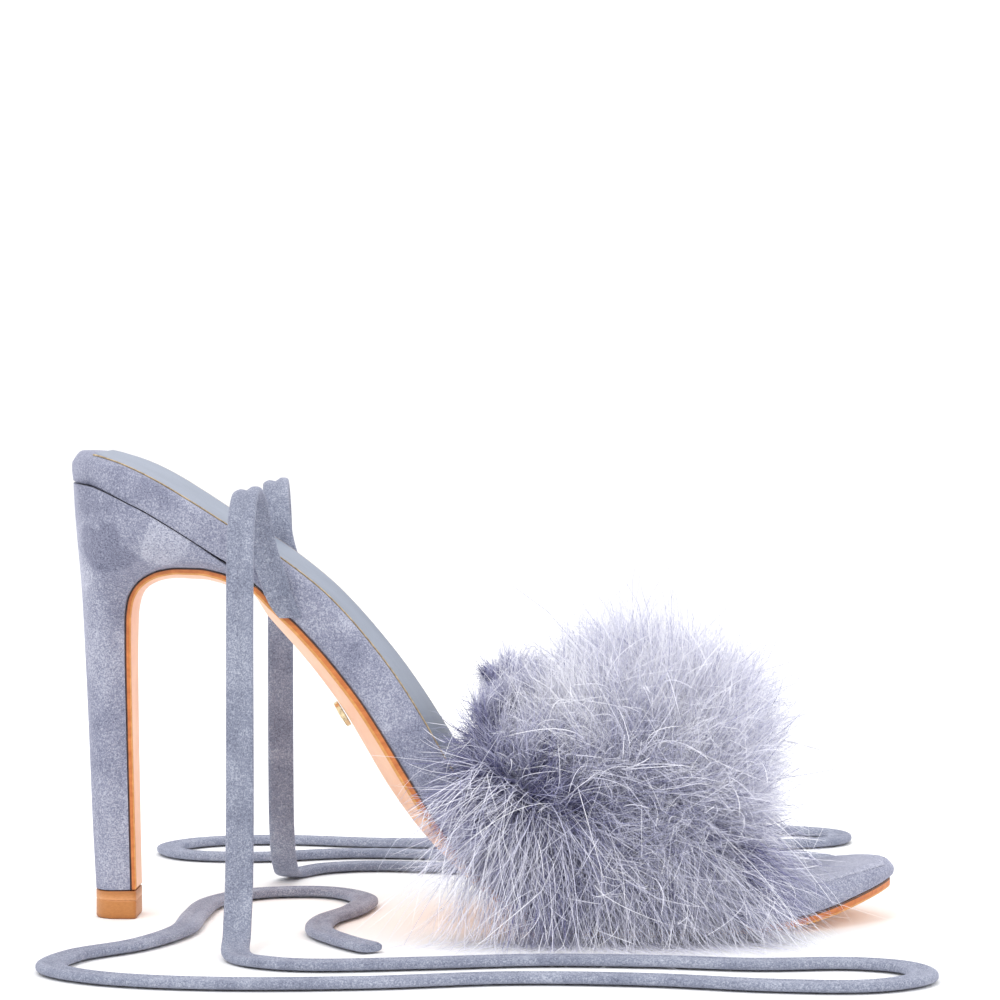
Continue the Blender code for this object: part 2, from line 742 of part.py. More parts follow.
def make_vamp_band():
    def build(builder):
        sheets = []
        for offset in (0.0, BAND_THICKNESS):
            sheets.append(
                [
                    add_ring(builder, band_section(k / BAND_ALONG, offset, BAND_AROUND))
                    for k in range(BAND_ALONG + 1)
                ]
            )
        inside, outside = sheets
        for sheet in sheets:
            for first, second in zip(sheet, sheet[1:]):
                join_rows(builder, first, second)
        for near, far in ((inside[0], outside[0]), (inside[-1], outside[-1])):
            join_rows(builder, near, far)
        for end in (0, -1):
            join_rows(builder, [row[end] for row in inside], [row[end] for row in outside])

    return new_object("vamp_band", build, SUEDE, 0.95)


def feather_reach(share, around):
    """How far the feathers stand out, and how they splay, at a place on the band."""
    crown, inner, outer, splay = (float(curve_through(FEATHERS, k, share)) for k in (1, 2, 3, 4))
    side = outer if around < 0.5 else inner
    over = math.sin(math.pi * around) ** 1.5
    return side + (crown - side) * over, splay


def feather_direction(share, around, splay):
    """Out from the band, fanned backward at its rear edge and forward at its front edge."""
    angle = math.pi * around
    droop = max(0.0, 1 - 2.2 * math.sin(angle))
    out = np.array([0.62 * splay, -math.cos(angle), math.sin(angle) - 0.55 * droop])
    return out / np.linalg.norm(out)


def make_feather_trim():
    rng = np.random.default_rng(11)

    def build(builder):
        inner_rows, outer_rows, spots = [], [], {}
        for i in range(FEATHER_ALONG + 1):
            share = i / FEATHER_ALONG
            skin = band_section(share, BAND_THICKNESS + GAP, FEATHER_AROUND)[1:-1]
            inner_rows.append(add_ring(builder, skin))
            outer = []
            for j, point in enumerate(skin):
                reach, splay = feather_reach(share, j / FEATHER_AROUND)
                out = feather_direction(share, j / FEATHER_AROUND, splay)
                spot = np.array(point) + out * reach * FEATHER_ROOT_SHARE
                spot[2] = max(spot[2], FEATHER_HEM + 0.002)
                outer.append(spot)
                spots[i, j] = (reach, out)
            outer_rows.append(add_ring(builder, outer))
        for first, second in zip(inner_rows, inner_rows[1:]):
            join_rows(builder, first, second)
        for near, far in ((inner_rows[0], outer_rows[0]), (inner_rows[-1], outer_rows[-1])):
            join_rows(builder, near, far)
        for end in (0, -1):
            join_rows(builder, [row[end] for row in inner_rows], [row[end] for row in outer_rows])
        for i in range(FEATHER_ALONG):
            for j in range(FEATHER_AROUND):
                corners = (
                    outer_rows[i][j],
                    outer_rows[i][j + 1],
                    outer_rows[i + 1][j + 1],
                    outer_rows[i + 1][j],
                )
                around = (spots[i, j], spots[i, j + 1], spots[i + 1, j + 1], spots[i + 1, j])
                reach = sum(spot[0] for spot in around) / 4
                out = sum(spot[1] for spot in around) / 4
                fuse_lock(builder, corners, out, reach, rng)

    return new_object("feather_trim", build, FEATHER, 0.9)


def fuse_lock(builder, corners, out, reach, rng):
    """A lock of feather drawn out of one cell of the surface to a soft point."""
    centre = sum((np.array(corner.co) for corner in corners), np.zeros(3)) / 4
    length = reach * (1 - FEATHER_ROOT_SHARE) * rng.uniform(0.62, 1.0)
    sway = rng.normal(0.0, LOCK_SWAY, 3)
    middle = []
    for corner in corners:
        spot = centre + (np.array(corner.co) - centre) * LOCK_TAPER + out * length * 0.55 + sway * 0.5
        spot[2] = max(spot[2], FEATHER_HEM + 0.0012)
        middle.append(builder.verts.new(tuple(spot)))
    tip = centre + out * length + sway
    tip[2] = max(tip[2], FEATHER_HEM)
    point = builder.verts.new(tuple(tip))
    join_rings(builder, list(corners), middle)
    for k in range(4):
        builder.faces.new((middle[k], middle[(k + 1) % 4], point))


def make_sole_stud():
    s = SOLE.along[np.argmin(np.abs(SOLE.line[:, 0] - STUD_STATION))]
    depth = float(sole_bottom_depth(s, STUD_SIDE))
    spot = SOLE.place(s, STUD_SIDE, depth)
    ahead = SOLE.place(s + 0.002, STUD_SIDE, float(sole_bottom_depth(s + 0.002, STUD_SIDE)))
    beside = SOLE.place(s, STUD_SIDE + 0.002, float(sole_bottom_depth(s, STUD_SIDE + 0.002)))
    along = (ahead - spot) / np.linalg.norm(ahead - spot)
    facing = np.cross(beside - spot, along)
    facing /= np.linalg.norm(facing)
    if facing[2] > 0:
        facing = -facing
    across = np.cross(facing, along)

    def build(builder):
        rings = []
        profile = ((STUD_RADIUS, 0.0), (STUD_RADIUS, 0.6), (0.78 * STUD_RADIUS, 1.0))
        for radius, share in profile:
            rise = STUD_CLEARANCE + STUD_THICKNESS * share
            ring = []
            for k in range(20):
                angle = 2 * math.pi * k / 20
                offset = along * math.cos(angle) + across * math.sin(angle)
                ring.append(spot + offset * radius + facing * rise)
            rings.append(add_ring(builder, ring))
        for first, second in zip(rings, rings[1:]):
            join_rings(builder, first, second)
        builder.faces.new(rings[0])
        builder.faces.new(rings[-1])

    return new_object("sole_stud", build, GOLD, 0.3, 1.0)


def route_curve(route, step):
    """Evenly spaced points on the smooth curve through a route's own points."""
    knots = np.array(route)
    padded = np.concatenate([[2 * knots[0] - knots[1]], knots, [2 * knots[-1] - knots[-2]]])
    dense = []
    for k in range(1, len(padded) - 2):
        p0, p1, p2, p3 = padded[k - 1 : k + 3]
        for t in np.linspace(0, 1, 24, endpoint=False):
            dense.append(
                0.5
                * (
                    2 * p1
                    + (p2 - p0) * t
                    + (2 * p0 - 5 * p1 + 4 * p2 - p3) * t**2
                    + (3 * p1 - p0 - 3 * p2 + p3) * t**3
                )
            )
    dense.append(padded[-2])
    dense = np.array(dense)
    along = np.concatenate([[0], np.cumsum(np.linalg.norm(np.diff(dense, axis=0), axis=1))])
    count = int(round(along[-1] / step))
    even = np.linspace(0, along[-1], count + 1)
    points = np.stack([np.interp(even, along, dense[:, k]) for k in range(3)], axis=1)
    return points, along[-1]


def strap_frames(points, face):
    """The width direction and the face of a strap at each point of its route.

    The strap carries its face along the route, turns slowly as it falls and lies flat on the floor.
    """
    ahead = np.gradient(points, axis=0)
    ahead /= np.linalg.norm(ahead, axis=1, keepdims=True)
    landing = int(np.argmax(points[:, 2] < TIE_FLAT_BELOW))
    faces = []
    normal = np.array(face, float)
    for direction in ahead:
        normal = normal - direction * float(normal @ direction)
        normal /= np.linalg.norm(normal)
        faces.append(normal)
    carried, direction = faces[landing], ahead[landing]
    flat = np.array([0.0, 0.0, 1.0]) - direction * direction[2]
    flat *= math.copysign(1.0, float(flat @ carried)) / np.linalg.norm(flat)
    turn = math.atan2(float(np.cross(carried, flat) @ direction), float(carried @ flat))
    for k, direction in enumerate(ahead):
        if k > landing:
            level = flat if k == landing + 1 else faces[k - 1]
            normal = np.array([0.0, 0.0, math.copysign(1.0, level[2])])
            faces[k] = normal - direction * float(normal @ direction)
            faces[k] /= np.linalg.norm(faces[k])
            continue
        share = float(ease((k - TIE_TURN_START) / (landing - TIE_TURN_START)))
        angle = turn * share
        side = np.cross(direction, faces[k])
        faces[k] = faces[k] * math.cos(angle) + side * math.sin(angle)
    faces = np.array(faces)
    return np.cross(ahead, faces), faces


def make_tie(name, route, face):
    points, _ = route_curve(route, TIE_STEP)
    wide, faces = strap_frames(points, face)
    half, thick = TIE_WIDTH / 2, TIE_THICKNESS / 2
    profile = ((half, 0), (0.8 * half, thick), (-0.8 * half, thick), (-half, 0))
    profile += ((-0.8 * half, -thick), (0.8 * half, -thick))

    def build(builder):
        rings = []
        for spot, across, out in zip(points, wide, faces):
            rings.append(add_ring(builder, [spot + across * a + out * b for a, b in profile]))
        for first, second in zip(rings, rings[1:]):
            join_rings(builder, first, second)
        builder.faces.new(rings[0])
        builder.faces.new(rings[-1])

    return new_object(name, build, SUEDE, 0.95)


def clear_scene():
    for thing in list(bpy.data.objects):
        bpy.data.objects.remove(thing, do_unlink=True)


def main():
    clear_scene()
    make_footbed()
    make_sock()
    make_outsole()
    make_heel()
    make_heel_tip()
    make_vamp_band()
    make_feather_trim()
    make_sole_stud()
    make_tie("tie_outer", OUTER_TIE, (0, -1, 0))
    make_tie("tie_inner", INNER_TIE, (0, 1, 0))


main()
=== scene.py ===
"""Looks for the right-foot high heel sandal: suede, leather, feathers and ties.

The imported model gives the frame: x to the toe, y to the inner side of the foot,
z up, in metres. The visible pieces follow the same last, heel and band as its solids.
"""

import math

import bmesh
import bpy
import numpy as np
from mathutils import Matrix, Vector


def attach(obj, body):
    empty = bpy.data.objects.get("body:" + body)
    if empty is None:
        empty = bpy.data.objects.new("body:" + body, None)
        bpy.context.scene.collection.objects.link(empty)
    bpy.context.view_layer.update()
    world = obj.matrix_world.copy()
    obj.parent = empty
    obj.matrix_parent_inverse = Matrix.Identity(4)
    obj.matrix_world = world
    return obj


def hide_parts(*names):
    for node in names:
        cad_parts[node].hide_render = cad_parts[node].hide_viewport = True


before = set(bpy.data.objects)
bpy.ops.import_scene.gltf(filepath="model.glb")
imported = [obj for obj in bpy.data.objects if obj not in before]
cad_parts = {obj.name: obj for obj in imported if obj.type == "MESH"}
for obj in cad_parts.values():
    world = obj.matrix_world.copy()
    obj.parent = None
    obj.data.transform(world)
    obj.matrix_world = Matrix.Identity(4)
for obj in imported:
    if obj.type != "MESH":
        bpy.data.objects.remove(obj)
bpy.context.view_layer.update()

# Camera
LENS = 138.46
CAMERA_DISTANCE = 1.0
CAMERA_AZIMUTH = math.radians(2.0)
CAMERA_ELEVATION = math.radians(2.0)
CAMERA_TARGET = Vector((0.0042, 0.0, 0.109))

# Light: each lamp's name, place, size and power
WORLD_STRENGTH = 1.15
LIGHT_AIM = Vector((0.0, 0.0, 0.05))
LIGHTS = (
    ("key", (-0.35, -0.75, 1.15), 0.55, 5.0),
    ("fill", (0.75, -0.65, 0.75), 0.60, 1.5),
    ("rim", (0.10, 0.90, 0.95), 0.60, 3.0),
)
FLOOR_REACH = 6.0
FLOOR_CORNERS = ((-1, -1), (1, -1), (1, 1), (-1, 1))
FLOOR_WHITE = (0.95, 0.95, 0.95, 1.0)

# The last and the parts built on it
SHOE_BACK = -0.1069
SHOE_TOE = 0.1069
GAP = 0.0003
SOCK_THICKNESS = 0.0004
SOCK_REST = 0.00005
SOCK_INSET = 0.0026
SOCK_BACK = 0.0075
SOCK_DISH = 0.0001
SOCK_LEATHER_END = 0.046
RIM_ROUND = 0.0022
RIM_BULGE = 0.0003
RIM_FALL_WIDTH = 0.0050
RIM_FALL_BACK = 0.0020
RIM_FALL_TOE = 0.0024
SOLE_INSET = 0.0008
SOLE_TOE_INSET = 0.0013
HEEL_INSET = 0.0004
BAND_THICKNESS = 0.0018
BAND_CLEARANCE = 0.0007
BAND_LEAN_IN = 0.0050
BAND_SQUARENESS = 2.35
TIP_HEIGHT = 0.0073
TIP_FRONT = -0.0903
TIP_ROUND = 0.0006
TIP_CORNER = 0.0012
TIP_STRAIGHT = 0.0040
TIP_MARGIN = 0.0002
STUD_RADIUS = 0.0036
STUD_STATION = -0.0298
STUD_SIDE = -0.0065
TIE_WIDTH = 0.0070
TIE_THICKNESS = 0.0025
TIE_FLAT_BELOW = 0.0040
TIE_TURN_START = 0.0675
TIE_STEP = 0.0016
EDGE_LINE_RADIUS = 0.00022

HEEL_ROUND_START = -0.0860
HEEL_ROUND_POWER = 0.50
TOE_ROUND_START = 0.0580
TOE_ROUND_POWER = 0.57

# x, footbed top, half width, sideways shift, footbed thickness, belly of the underside
LAST = (
    (-0.1069, 0.1221, 0.0262, 0.0000, 0.0082, 0.0000),
    (-0.1000, 0.1215, 0.0262, 0.0000, 0.0082, 0.0000),
    (-0.0940, 0.1197, 0.0262, -0.0001, 0.0082, 0.0000),
    (-0.0880, 0.1172, 0.0262, -0.0002, 0.0082, 0.0000),
    (-0.0820, 0.1141, 0.0260, -0.0003, 0.0080, 0.0000),
    (-0.0760, 0.1105, 0.0254, -0.0005, 0.0080, 0.0000),
    (-0.0700, 0.1067, 0.0245, -0.0007, 0.0080, 0.0000),
    (-0.0640, 0.1028, 0.0235, -0.0010, 0.0080, 0.0000),
    (-0.0580, 0.0992, 0.0225, -0.0013, 0.0081, 0.0000),
    (-0.0520, 0.0953, 0.0216, -0.0015, 0.0088, 0.0018),
    (-0.0460, 0.0909, 0.0209, -0.0018, 0.0096, 0.0038),
    (-0.0400, 0.0859, 0.0205, -0.0020, 0.0100, 0.0044),
    (-0.0340, 0.0798, 0.0207, -0.0022, 0.0101, 0.0047),
    (-0.0280, 0.0728, 0.0213, -0.0022, 0.0101, 0.0050),
    (-0.0220, 0.0650, 0.0226, -0.0021, 0.0100, 0.0054),
    (-0.0160, 0.0560, 0.0243, -0.0020, 0.0099, 0.0060),
    (-0.0100, 0.0460, 0.0265, -0.0018, 0.0097, 0.0063),
    (-0.0040, 0.0362, 0.0288, -0.0015, 0.0094, 0.0058),
    (0.0020, 0.0274, 0.0311, -0.0013, 0.0090, 0.0045),
    (0.0080, 0.0204, 0.0334, -0.0011, 0.0086, 0.0031),
    (0.0140, 0.0155, 0.0354, -0.0008, 0.0082, 0.0017),
    (0.0200, 0.0125, 0.0370, -0.0005, 0.0078, 0.0006),
    (0.0280, 0.0106, 0.0381, 0.0002, 0.0075, 0.0000),
    (0.0360, 0.0101, 0.0382, 0.0008, 0.0075, 0.0000),
    (0.0480, 0.0101, 0.0368, 0.0016, 0.0075, 0.0000),
    (0.0580, 0.0101, 0.0346, 0.0025, 0.0075, 0.0000),
    (0.0660, 0.0102, 0.0340, 0.0032, 0.0074, 0.0000),
    (0.0740, 0.0106, 0.0338, 0.0039, 0.0074, 0.0000),
    (0.0820, 0.0116, 0.0336, 0.0046, 0.0073, 0.0000),
    (0.0880, 0.0126, 0.0335, 0.0053, 0.0070, 0.0000),
    (0.0940, 0.0138, 0.0334, 0.0060, 0.0065, 0.0000),
    (0.1000, 0.0149, 0.0334, 0.0067, 0.0058, 0.0000),
    (0.1069, 0.0159, 0.0334, 0.0074, 0.0046, 0.0000),
)
LAST_TOP, LAST_HALF, LAST_SHIFT, LAST_SLAB, LAST_BELLY = range(1, 6)

# x, z, half width and belly of the heel's breast and underside, from the tip forward
BREAST = (
    (-0.0919, 0.0076, 0.0062, 0.0000),
    (-0.0923, 0.0280, 0.0066, 0.0000),
    (-0.0927, 0.0500, 0.0072, 0.0000),
    (-0.0929, 0.0690, 0.0080, 0.0000),
    (-0.0928, 0.0780, 0.0086, 0.0001),
    (-0.0921, 0.0832, 0.0093, 0.0003),
    (-0.0903, 0.0868, 0.0102, 0.0006),
    (-0.0872, 0.0896, 0.0115, 0.0010),
    (-0.0829, 0.0914, 0.0134, 0.0014),
    (-0.0780, 0.0921, 0.0155, 0.0018),
    (-0.0725, 0.0921, 0.0176, 0.0020),
    (-0.0670, 0.0912, 0.0195, 0.0021),
    (-0.0615, 0.0893, 0.0209, 0.0020),
)

# share of the breast curve, back x, back z, greatest half width, share of the seat's outline
HEEL = (
    (0.000, -0.1015, 0.0076, 0.0068, 0.00),
    (0.160, -0.1024, 0.0250, 0.0070, 0.00),
    (0.330, -0.1031, 0.0440, 0.0076, 0.00),
    (0.480, -0.1038, 0.0620, 0.0085, 0.00),
    (0.590, -0.1044, 0.0760, 0.0098, 0.02),
    (0.660, -0.1048, 0.0850, 0.0114, 0.06),
    (0.720, -0.1053, 0.0925, 0.0140, 0.16),
    (0.780, -0.1058, 0.0985, 0.0172, 0.34),
    (0.840, -0.1062, 0.1035, 0.0204, 0.56),
    (0.900, -0.1065, 0.1075, 0.0228, 0.76),
    (0.955, -0.1067, 0.1108, 0.0244, 0.92),
    (1.000, -0.1068, 0.1131, 0.0255, 1.00),
)
HEEL_BACK_X, HEEL_BACK_Z, HEEL_HALF = 1, 2, 3
HEEL_WIDEST = 0.50
SEAT_AHEAD = 0.0035
LIP_DROP = 0.0005
LIP_START = -0.0730

# Patches on the heel's outer side, standing for stroked nap with painted shade in the darker one and
# painted light in the paler ones: centre, radius and how much paler, and the waves of their edges
HEEL_PAINTED_SHADE_AND_LIGHT_PATCHES = (
    ((-0.0945, -0.0160, 0.0990), 0.0082, -0.20),
    ((-0.0805, -0.0230, 0.0990), 0.0066, 0.14),
    ((-0.1035, -0.0090, 0.0910), 0.0055, 0.14),
)
PATCH_WAVE = 0.00625

# key, name, dark, middle and light screen colours, and what differs from the plain suede
SUEDES = (
    ("suede", "suede_slate_lavender", (88, 91, 112), (137, 140, 160), (194, 196, 209), {}),
    (
        "heel_suede",
        "suede_of_the_heel_painted_shade_and_light",
        (88, 91, 112),
        (137, 140, 160),
        (194, 196, 209),
        {"spots": HEEL_PAINTED_SHADE_AND_LIGHT_PATCHES},
    ),
    # The toe's suede is the same suede painted paler: painted light on the toe's top surface.
    ("toe_suede_painted_light", "suede_of_the_toe_painted_light", (104, 107, 128), (158, 160, 178), (208, 210, 220), {}),
    (
        "tie_suede",
        "suede_of_the_ties",
        (88, 92, 110),
        (134, 139, 157),
        (188, 192, 205),
        {"patch": 0.014, "stroke": 0.05},
    ),
    (
        "lining",
        "suede_of_the_lining",
        (84, 88, 122),
        (108, 112, 146),
        (140, 144, 176),
        {"patch": 0.015},
    ),
)

# key, name, dark and light screen colours of the outsole's stained edge
SOLE_EDGES = (
    ("edge", "sole_edge", (176, 92, 38), (216, 132, 70)),
    ("edge_dark", "sole_edge_dark", (70, 38, 22), (104, 60, 34)),
    ("edge_golden", "sole_edge_golden", (196, 132, 62), (228, 168, 100)),
)

# Share of the tip's height, screen colour
TIP_LAYERS = (
    (0.00, (160, 98, 44)),
    (0.18, (186, 122, 62)),
    (0.62, (190, 126, 66)),
    (0.70, (214, 152, 100)),
    (0.86, (192, 128, 70)),
    (1.00, (170, 106, 54)),
)

# Tone of a feather's barbs, screen colour; the tone holds the barbs' own tone and also the plumes'
# painted light and painted shade and the strays' painted highlights
FEATHER_TONES = (
    (0.00, (80, 79, 120)),
    (0.25, (134, 134, 174)),
    (0.50, (190, 191, 214)),
    (0.75, (228, 228, 240)),
    (1.00, (250, 250, 255)),
)

# x, thickness of the outsole
SOLE_THICKNESS = (
    (-0.1069, 0.0013),
    (-0.0800, 0.0014),
    (-0.0500, 0.0018),
    (-0.0100, 0.0020),
    (0.0200, 0.0023),
    (0.1069, 0.0023),
)

# where each section of the band leaves the footbed, crown x, crown z, from rear to front
BAND = (
    (-0.0010, 0.0020, 0.0605),
    (0.0150, 0.0185, 0.0560),
    (0.0310, 0.0350, 0.0500),
    (0.0470, 0.0500, 0.0440),
    (0.0620, 0.0635, 0.0375),
)

# share of the band, reach of the feathers over the crown, at the inner and at the outer side
FEATHERS = (
    (0.00, 0.0048, 0.0130, 0.0270),
    (0.25, 0.0110, 0.0180, 0.0290),
    (0.50, 0.0295, 0.0220, 0.0270),
    (0.75, 0.0335, 0.0240, 0.0270),
    (1.00, 0.0260, 0.0250, 0.0270),
)

# The route of each tie: out beside the rim, over in a loop and down, then along the floor
OUTER_TIE_RISE = (
    (-0.0512, -0.0244, 0.0852), (-0.0530, -0.0247, 0.0908), (-0.0548, -0.0252, 0.0965),
    (-0.0562, -0.0276, 0.1040), (-0.0572, -0.0345, 0.1108), (-0.0578, -0.0430, 0.1118),
    (-0.0580, -0.0510, 0.1058), (-0.0580, -0.0548, 0.0960), (-0.0580, -0.0560, 0.0780),
    (-0.0580, -0.0562, 0.0560), (-0.0580, -0.0566, 0.0340), (-0.0580, -0.0590, 0.0165),
    (-0.0578, -0.0660, 0.0055),
)
OUTER_TIE_ON_FLOOR = (
    (-0.0566, -0.0770), (-0.0490, -0.0872), (-0.0350, -0.0910), (-0.0100, -0.0868),
    (0.0160, -0.0815), (0.0430, -0.0822), (0.0680, -0.0862), (0.0900, -0.0838),
    (0.1040, -0.0905), (0.1060, -0.1060), (0.0930, -0.1175), (0.0700, -0.1170),
    (0.0420, -0.1098), (0.0100, -0.1085), (-0.0230, -0.1165), (-0.0560, -0.1190),
    (-0.0830, -0.1130), (-0.0985, -0.0985), (-0.0960, -0.0780), (-0.0830, -0.0600),
    (-0.0750, -0.0360), (-0.0745, -0.0100), (-0.0725, 0.0150), (-0.0620, 0.0330),
    (-0.0440, 0.0360), (-0.0330, 0.0220), (-0.0340, 0.0020), (-0.0400, -0.0170),
    (-0.0400, -0.0360), (-0.0330, -0.0520), (-0.0250, -0.0640),
)
INNER_TIE_RISE = (
    (-0.0512, 0.02145, 0.0852), (-0.0530, 0.02175, 0.0908), (-0.0548, 0.02225, 0.0965),
    (-0.0562, 0.0246, 0.1040), (-0.0572, 0.0315, 0.1108), (-0.0578, 0.0400, 0.1118),
    (-0.0580, 0.0480, 0.1058), (-0.0580, 0.0518, 0.0960), (-0.0580, 0.0530, 0.0780),
    (-0.0580, 0.0532, 0.0560), (-0.0580, 0.0536, 0.0340), (-0.0580, 0.0560, 0.0165),
    (-0.0578, 0.0630, 0.0055),
)
INNER_TIE_ON_FLOOR = (
    (-0.0566, 0.0740), (-0.0480, 0.0860), (-0.0320, 0.0910), (-0.0060, 0.0850),
    (0.0220, 0.0780), (0.0500, 0.0800), (0.0760, 0.0830), (0.0930, 0.0930),
    (0.0940, 0.1100), (0.0780, 0.1210), (0.0500, 0.1160), (0.0200, 0.1090),
    (-0.0120, 0.1160), (-0.0430, 0.1190), (-0.0690, 0.1100), (-0.0900, 0.1130),
    (-0.0980, 0.1290), (-0.0880, 0.1450), (-0.0660, 0.1500), (-0.0360, 0.1440),
    (-0.0060, 0.1450), (0.0220, 0.1480), (0.0500, 0.1460), (0.0780, 0.1440),
    (0.0980, 0.1520), (0.1000, 0.1690), (0.0840, 0.1790), (0.0600, 0.1760),
    (0.0400, 0.1740),
)
TIE_REST = 0.0016
OUTER_TIE = OUTER_TIE_RISE + tuple((x, y, TIE_REST) for x, y in OUTER_TIE_ON_FLOOR)
INNER_TIE = INNER_TIE_RISE + tuple((x, y, TIE_REST) for x, y in INNER_TIE_ON_FLOOR)

# The sewn end of a tie below its route, mirrored for the outer side
TIE_ROOT = (
    (-0.0514, 0.0240, 0.0860),
    (-0.0508, 0.0236, 0.0842),
    (-0.0500, 0.0232, 0.0825),
    (-0.0491, 0.0228, 0.0809),
    (-0.0484, 0.0225, 0.0797),
)


# Camera, light and floor

def set_camera():
    back = Vector(
        (
            math.sin(CAMERA_AZIMUTH) * math.cos(CAMERA_ELEVATION),
            -math.cos(CAMERA_AZIMUTH) * math.cos(CAMERA_ELEVATION),
            math.sin(CAMERA_ELEVATION),
        )
    )
    right = Vector((math.cos(CAMERA_AZIMUTH), math.sin(CAMERA_AZIMUTH), 0.0))
    up = back.cross(right)
    spot = CAMERA_TARGET + back * CAMERA_DISTANCE
    data = bpy.data.cameras.new("camera")
    data.lens = LENS
    data.clip_start = 0.01
    camera = bpy.data.objects.new("camera", data)
    bpy.context.scene.collection.objects.link(camera)
    turn = Matrix((right, up, back)).transposed().to_4x4()
    camera.matrix_world = Matrix.Translation(spot) @ turn
    bpy.context.scene.camera = camera


def set_light():
    scene = bpy.context.scene
    scene.view_settings.view_transform = "Standard"
    world = bpy.data.worlds.new("studio")
    scene.world = world
    world.use_nodes = True
    background = world.node_tree.nodes["Background"]
    background.inputs["Color"].default_value = (1.0, 1.0, 1.0, 1.0)
    background.inputs["Strength"].default_value = WORLD_STRENGTH
    for name, spot, size, power in LIGHTS:
        data = bpy.data.lights.new(name, "AREA")
        data.shape = "DISK"
        data.size = size
        data.energy = power
        light = bpy.data.objects.new(name, data)
        scene.collection.objects.link(light)
        light.location = spot
        light.rotation_euler = (LIGHT_AIM - Vector(spot)).to_track_quat("-Z", "Y").to_euler()


def make_floor():
    mesh = bpy.data.meshes.new("floor")
    corners = [(x * FLOOR_REACH, y * FLOOR_REACH, 0) for x, y in FLOOR_CORNERS]
    mesh.from_pydata(corners, [], [(0, 1, 2, 3)])
    floor = bpy.data.objects.new("floor", mesh)
    bpy.context.scene.collection.objects.link(floor)
    white = Shader("floor_white")
    white.plain(Base_Color=FLOOR_WHITE, Roughness=0.85, Specular_IOR_Level=0.1)
    mesh.materials.append(white.material)


# Materials

def srgb(red, green, blue):
    """Linear colour of an 8-bit screen colour."""
    out = []
    for value in (red, green, blue):
        value /= 255
        out.append(value / 12.92 if value <= 0.04045 else ((value + 0.055) / 1.055) ** 2.4)
    return (*out, 1.0)


class Shader:
    """A material's node tree with short calls for the nodes that the finishes share."""

    def __init__(self, name):
        self.material = bpy.data.materials.new(name)
        self.material.use_nodes = True
        self.nodes = self.material.node_tree.nodes
        self.links = self.material.node_tree.links
        self.surface = self.nodes["Principled BSDF"]
        self.place = self.nodes.new("ShaderNodeTexCoord").outputs["Object"]

    def feed(self, node, **inputs):
        """Sets or links a node's inputs, named with underscores for their spaces."""
        for key, value in inputs.items():
            socket = node.inputs[key.replace("_", " ")]
            if isinstance(value, bpy.types.NodeSocket):
                self.links.new(value, socket)
            else:
                socket.default_value = value
        return node

    def add(self, kind, **inputs):
        return self.feed(self.nodes.new("ShaderNode" + kind), **inputs)

    def plain(self, **values):
        self.feed(self.surface, **values)

    def noise(self, size, detail=4.0, rough=0.55, warp=0.0, stretch=(1.0, 1.0, 1.0)):
        """Noise whose blotches are about this many metres across."""
        place = self.add("Mapping", Vector=self.place, Scale=stretch).outputs["Vector"]
        look = {"Scale": 1.0 / size, "Detail": detail, "Roughness": rough, "Distortion": warp}
        return self.add("TexNoise", Vector=place, **look).outputs["Fac"]

    def cells(self, size):
        return self.add("TexVoronoi", Vector=self.place, Scale=1.0 / size).outputs["Distance"]

    def spot(self, centre, radius):
        """One inside a round patch with a crisp wavy edge, zero outside it."""
        wave = self.add("TexNoise", Vector=self.place, Scale=1.0 / PATCH_WAVE)
        apart = self.nodes.new("ShaderNodeVectorMath")
        apart.operation = "DISTANCE"
        self.links.new(self.place, apart.inputs[0])
        apart.inputs[1].default_value = centre
        reach = self.sum(apart.outputs["Value"], wave.outputs["Fac"], radius * 0.8)
        return self.shift(reach, 1.0, 0.0, radius * 1.33, radius * 1.50)

    def ramp(self, value, *stops):
        """A colour for each value, blended between stops of a value and a screen colour."""
        node = self.nodes.new("ShaderNodeValToRGB")
        marks = node.color_ramp.elements
        while len(marks) < len(stops):
            marks.new(0.5)
        for mark, (at, colour) in zip(marks, stops):
            mark.position = at
            mark.color = srgb(*colour)
        self.links.new(value, node.inputs["Fac"])
        return node.outputs["Color"]

    def shift(self, value, low, high, start=0.0, end=1.0):
        """A value spread from start..end to low..high."""
        span = {"From_Min": start, "From_Max": end, "To_Min": low, "To_Max": high}
        return self.add("MapRange", Value=value, **span).outputs["Result"]

    def sum(self, first, second, weight=1.0):
        node = self.nodes.new("ShaderNodeMath")
        node.operation = "MULTIPLY_ADD"
        self.links.new(second, node.inputs[0])
        node.inputs[1].default_value = weight
        self.links.new(first, node.inputs[2])
        return node.outputs[0]

    def mix(self, share, first, second):
        node = self.nodes.new("ShaderNodeMix")
        node.data_type = "RGBA"
        for socket, value in ((0, share), (6, first), (7, second)):
            if isinstance(value, (int, float, tuple)):
                node.inputs[socket].default_value = value
            else:
                self.links.new(value, node.inputs[socket])
        return node.outputs[2]

    def attribute(self, name):
        node = self.nodes.new("ShaderNodeAttribute")
        node.attribute_name = name
        return node.outputs["Fac"]

    def bump(self, height, distance, strength=1.0):
        node = self.add("Bump", Height=height, Distance=distance, Strength=strength)
        self.plain(Normal=node.outputs["Normal"])


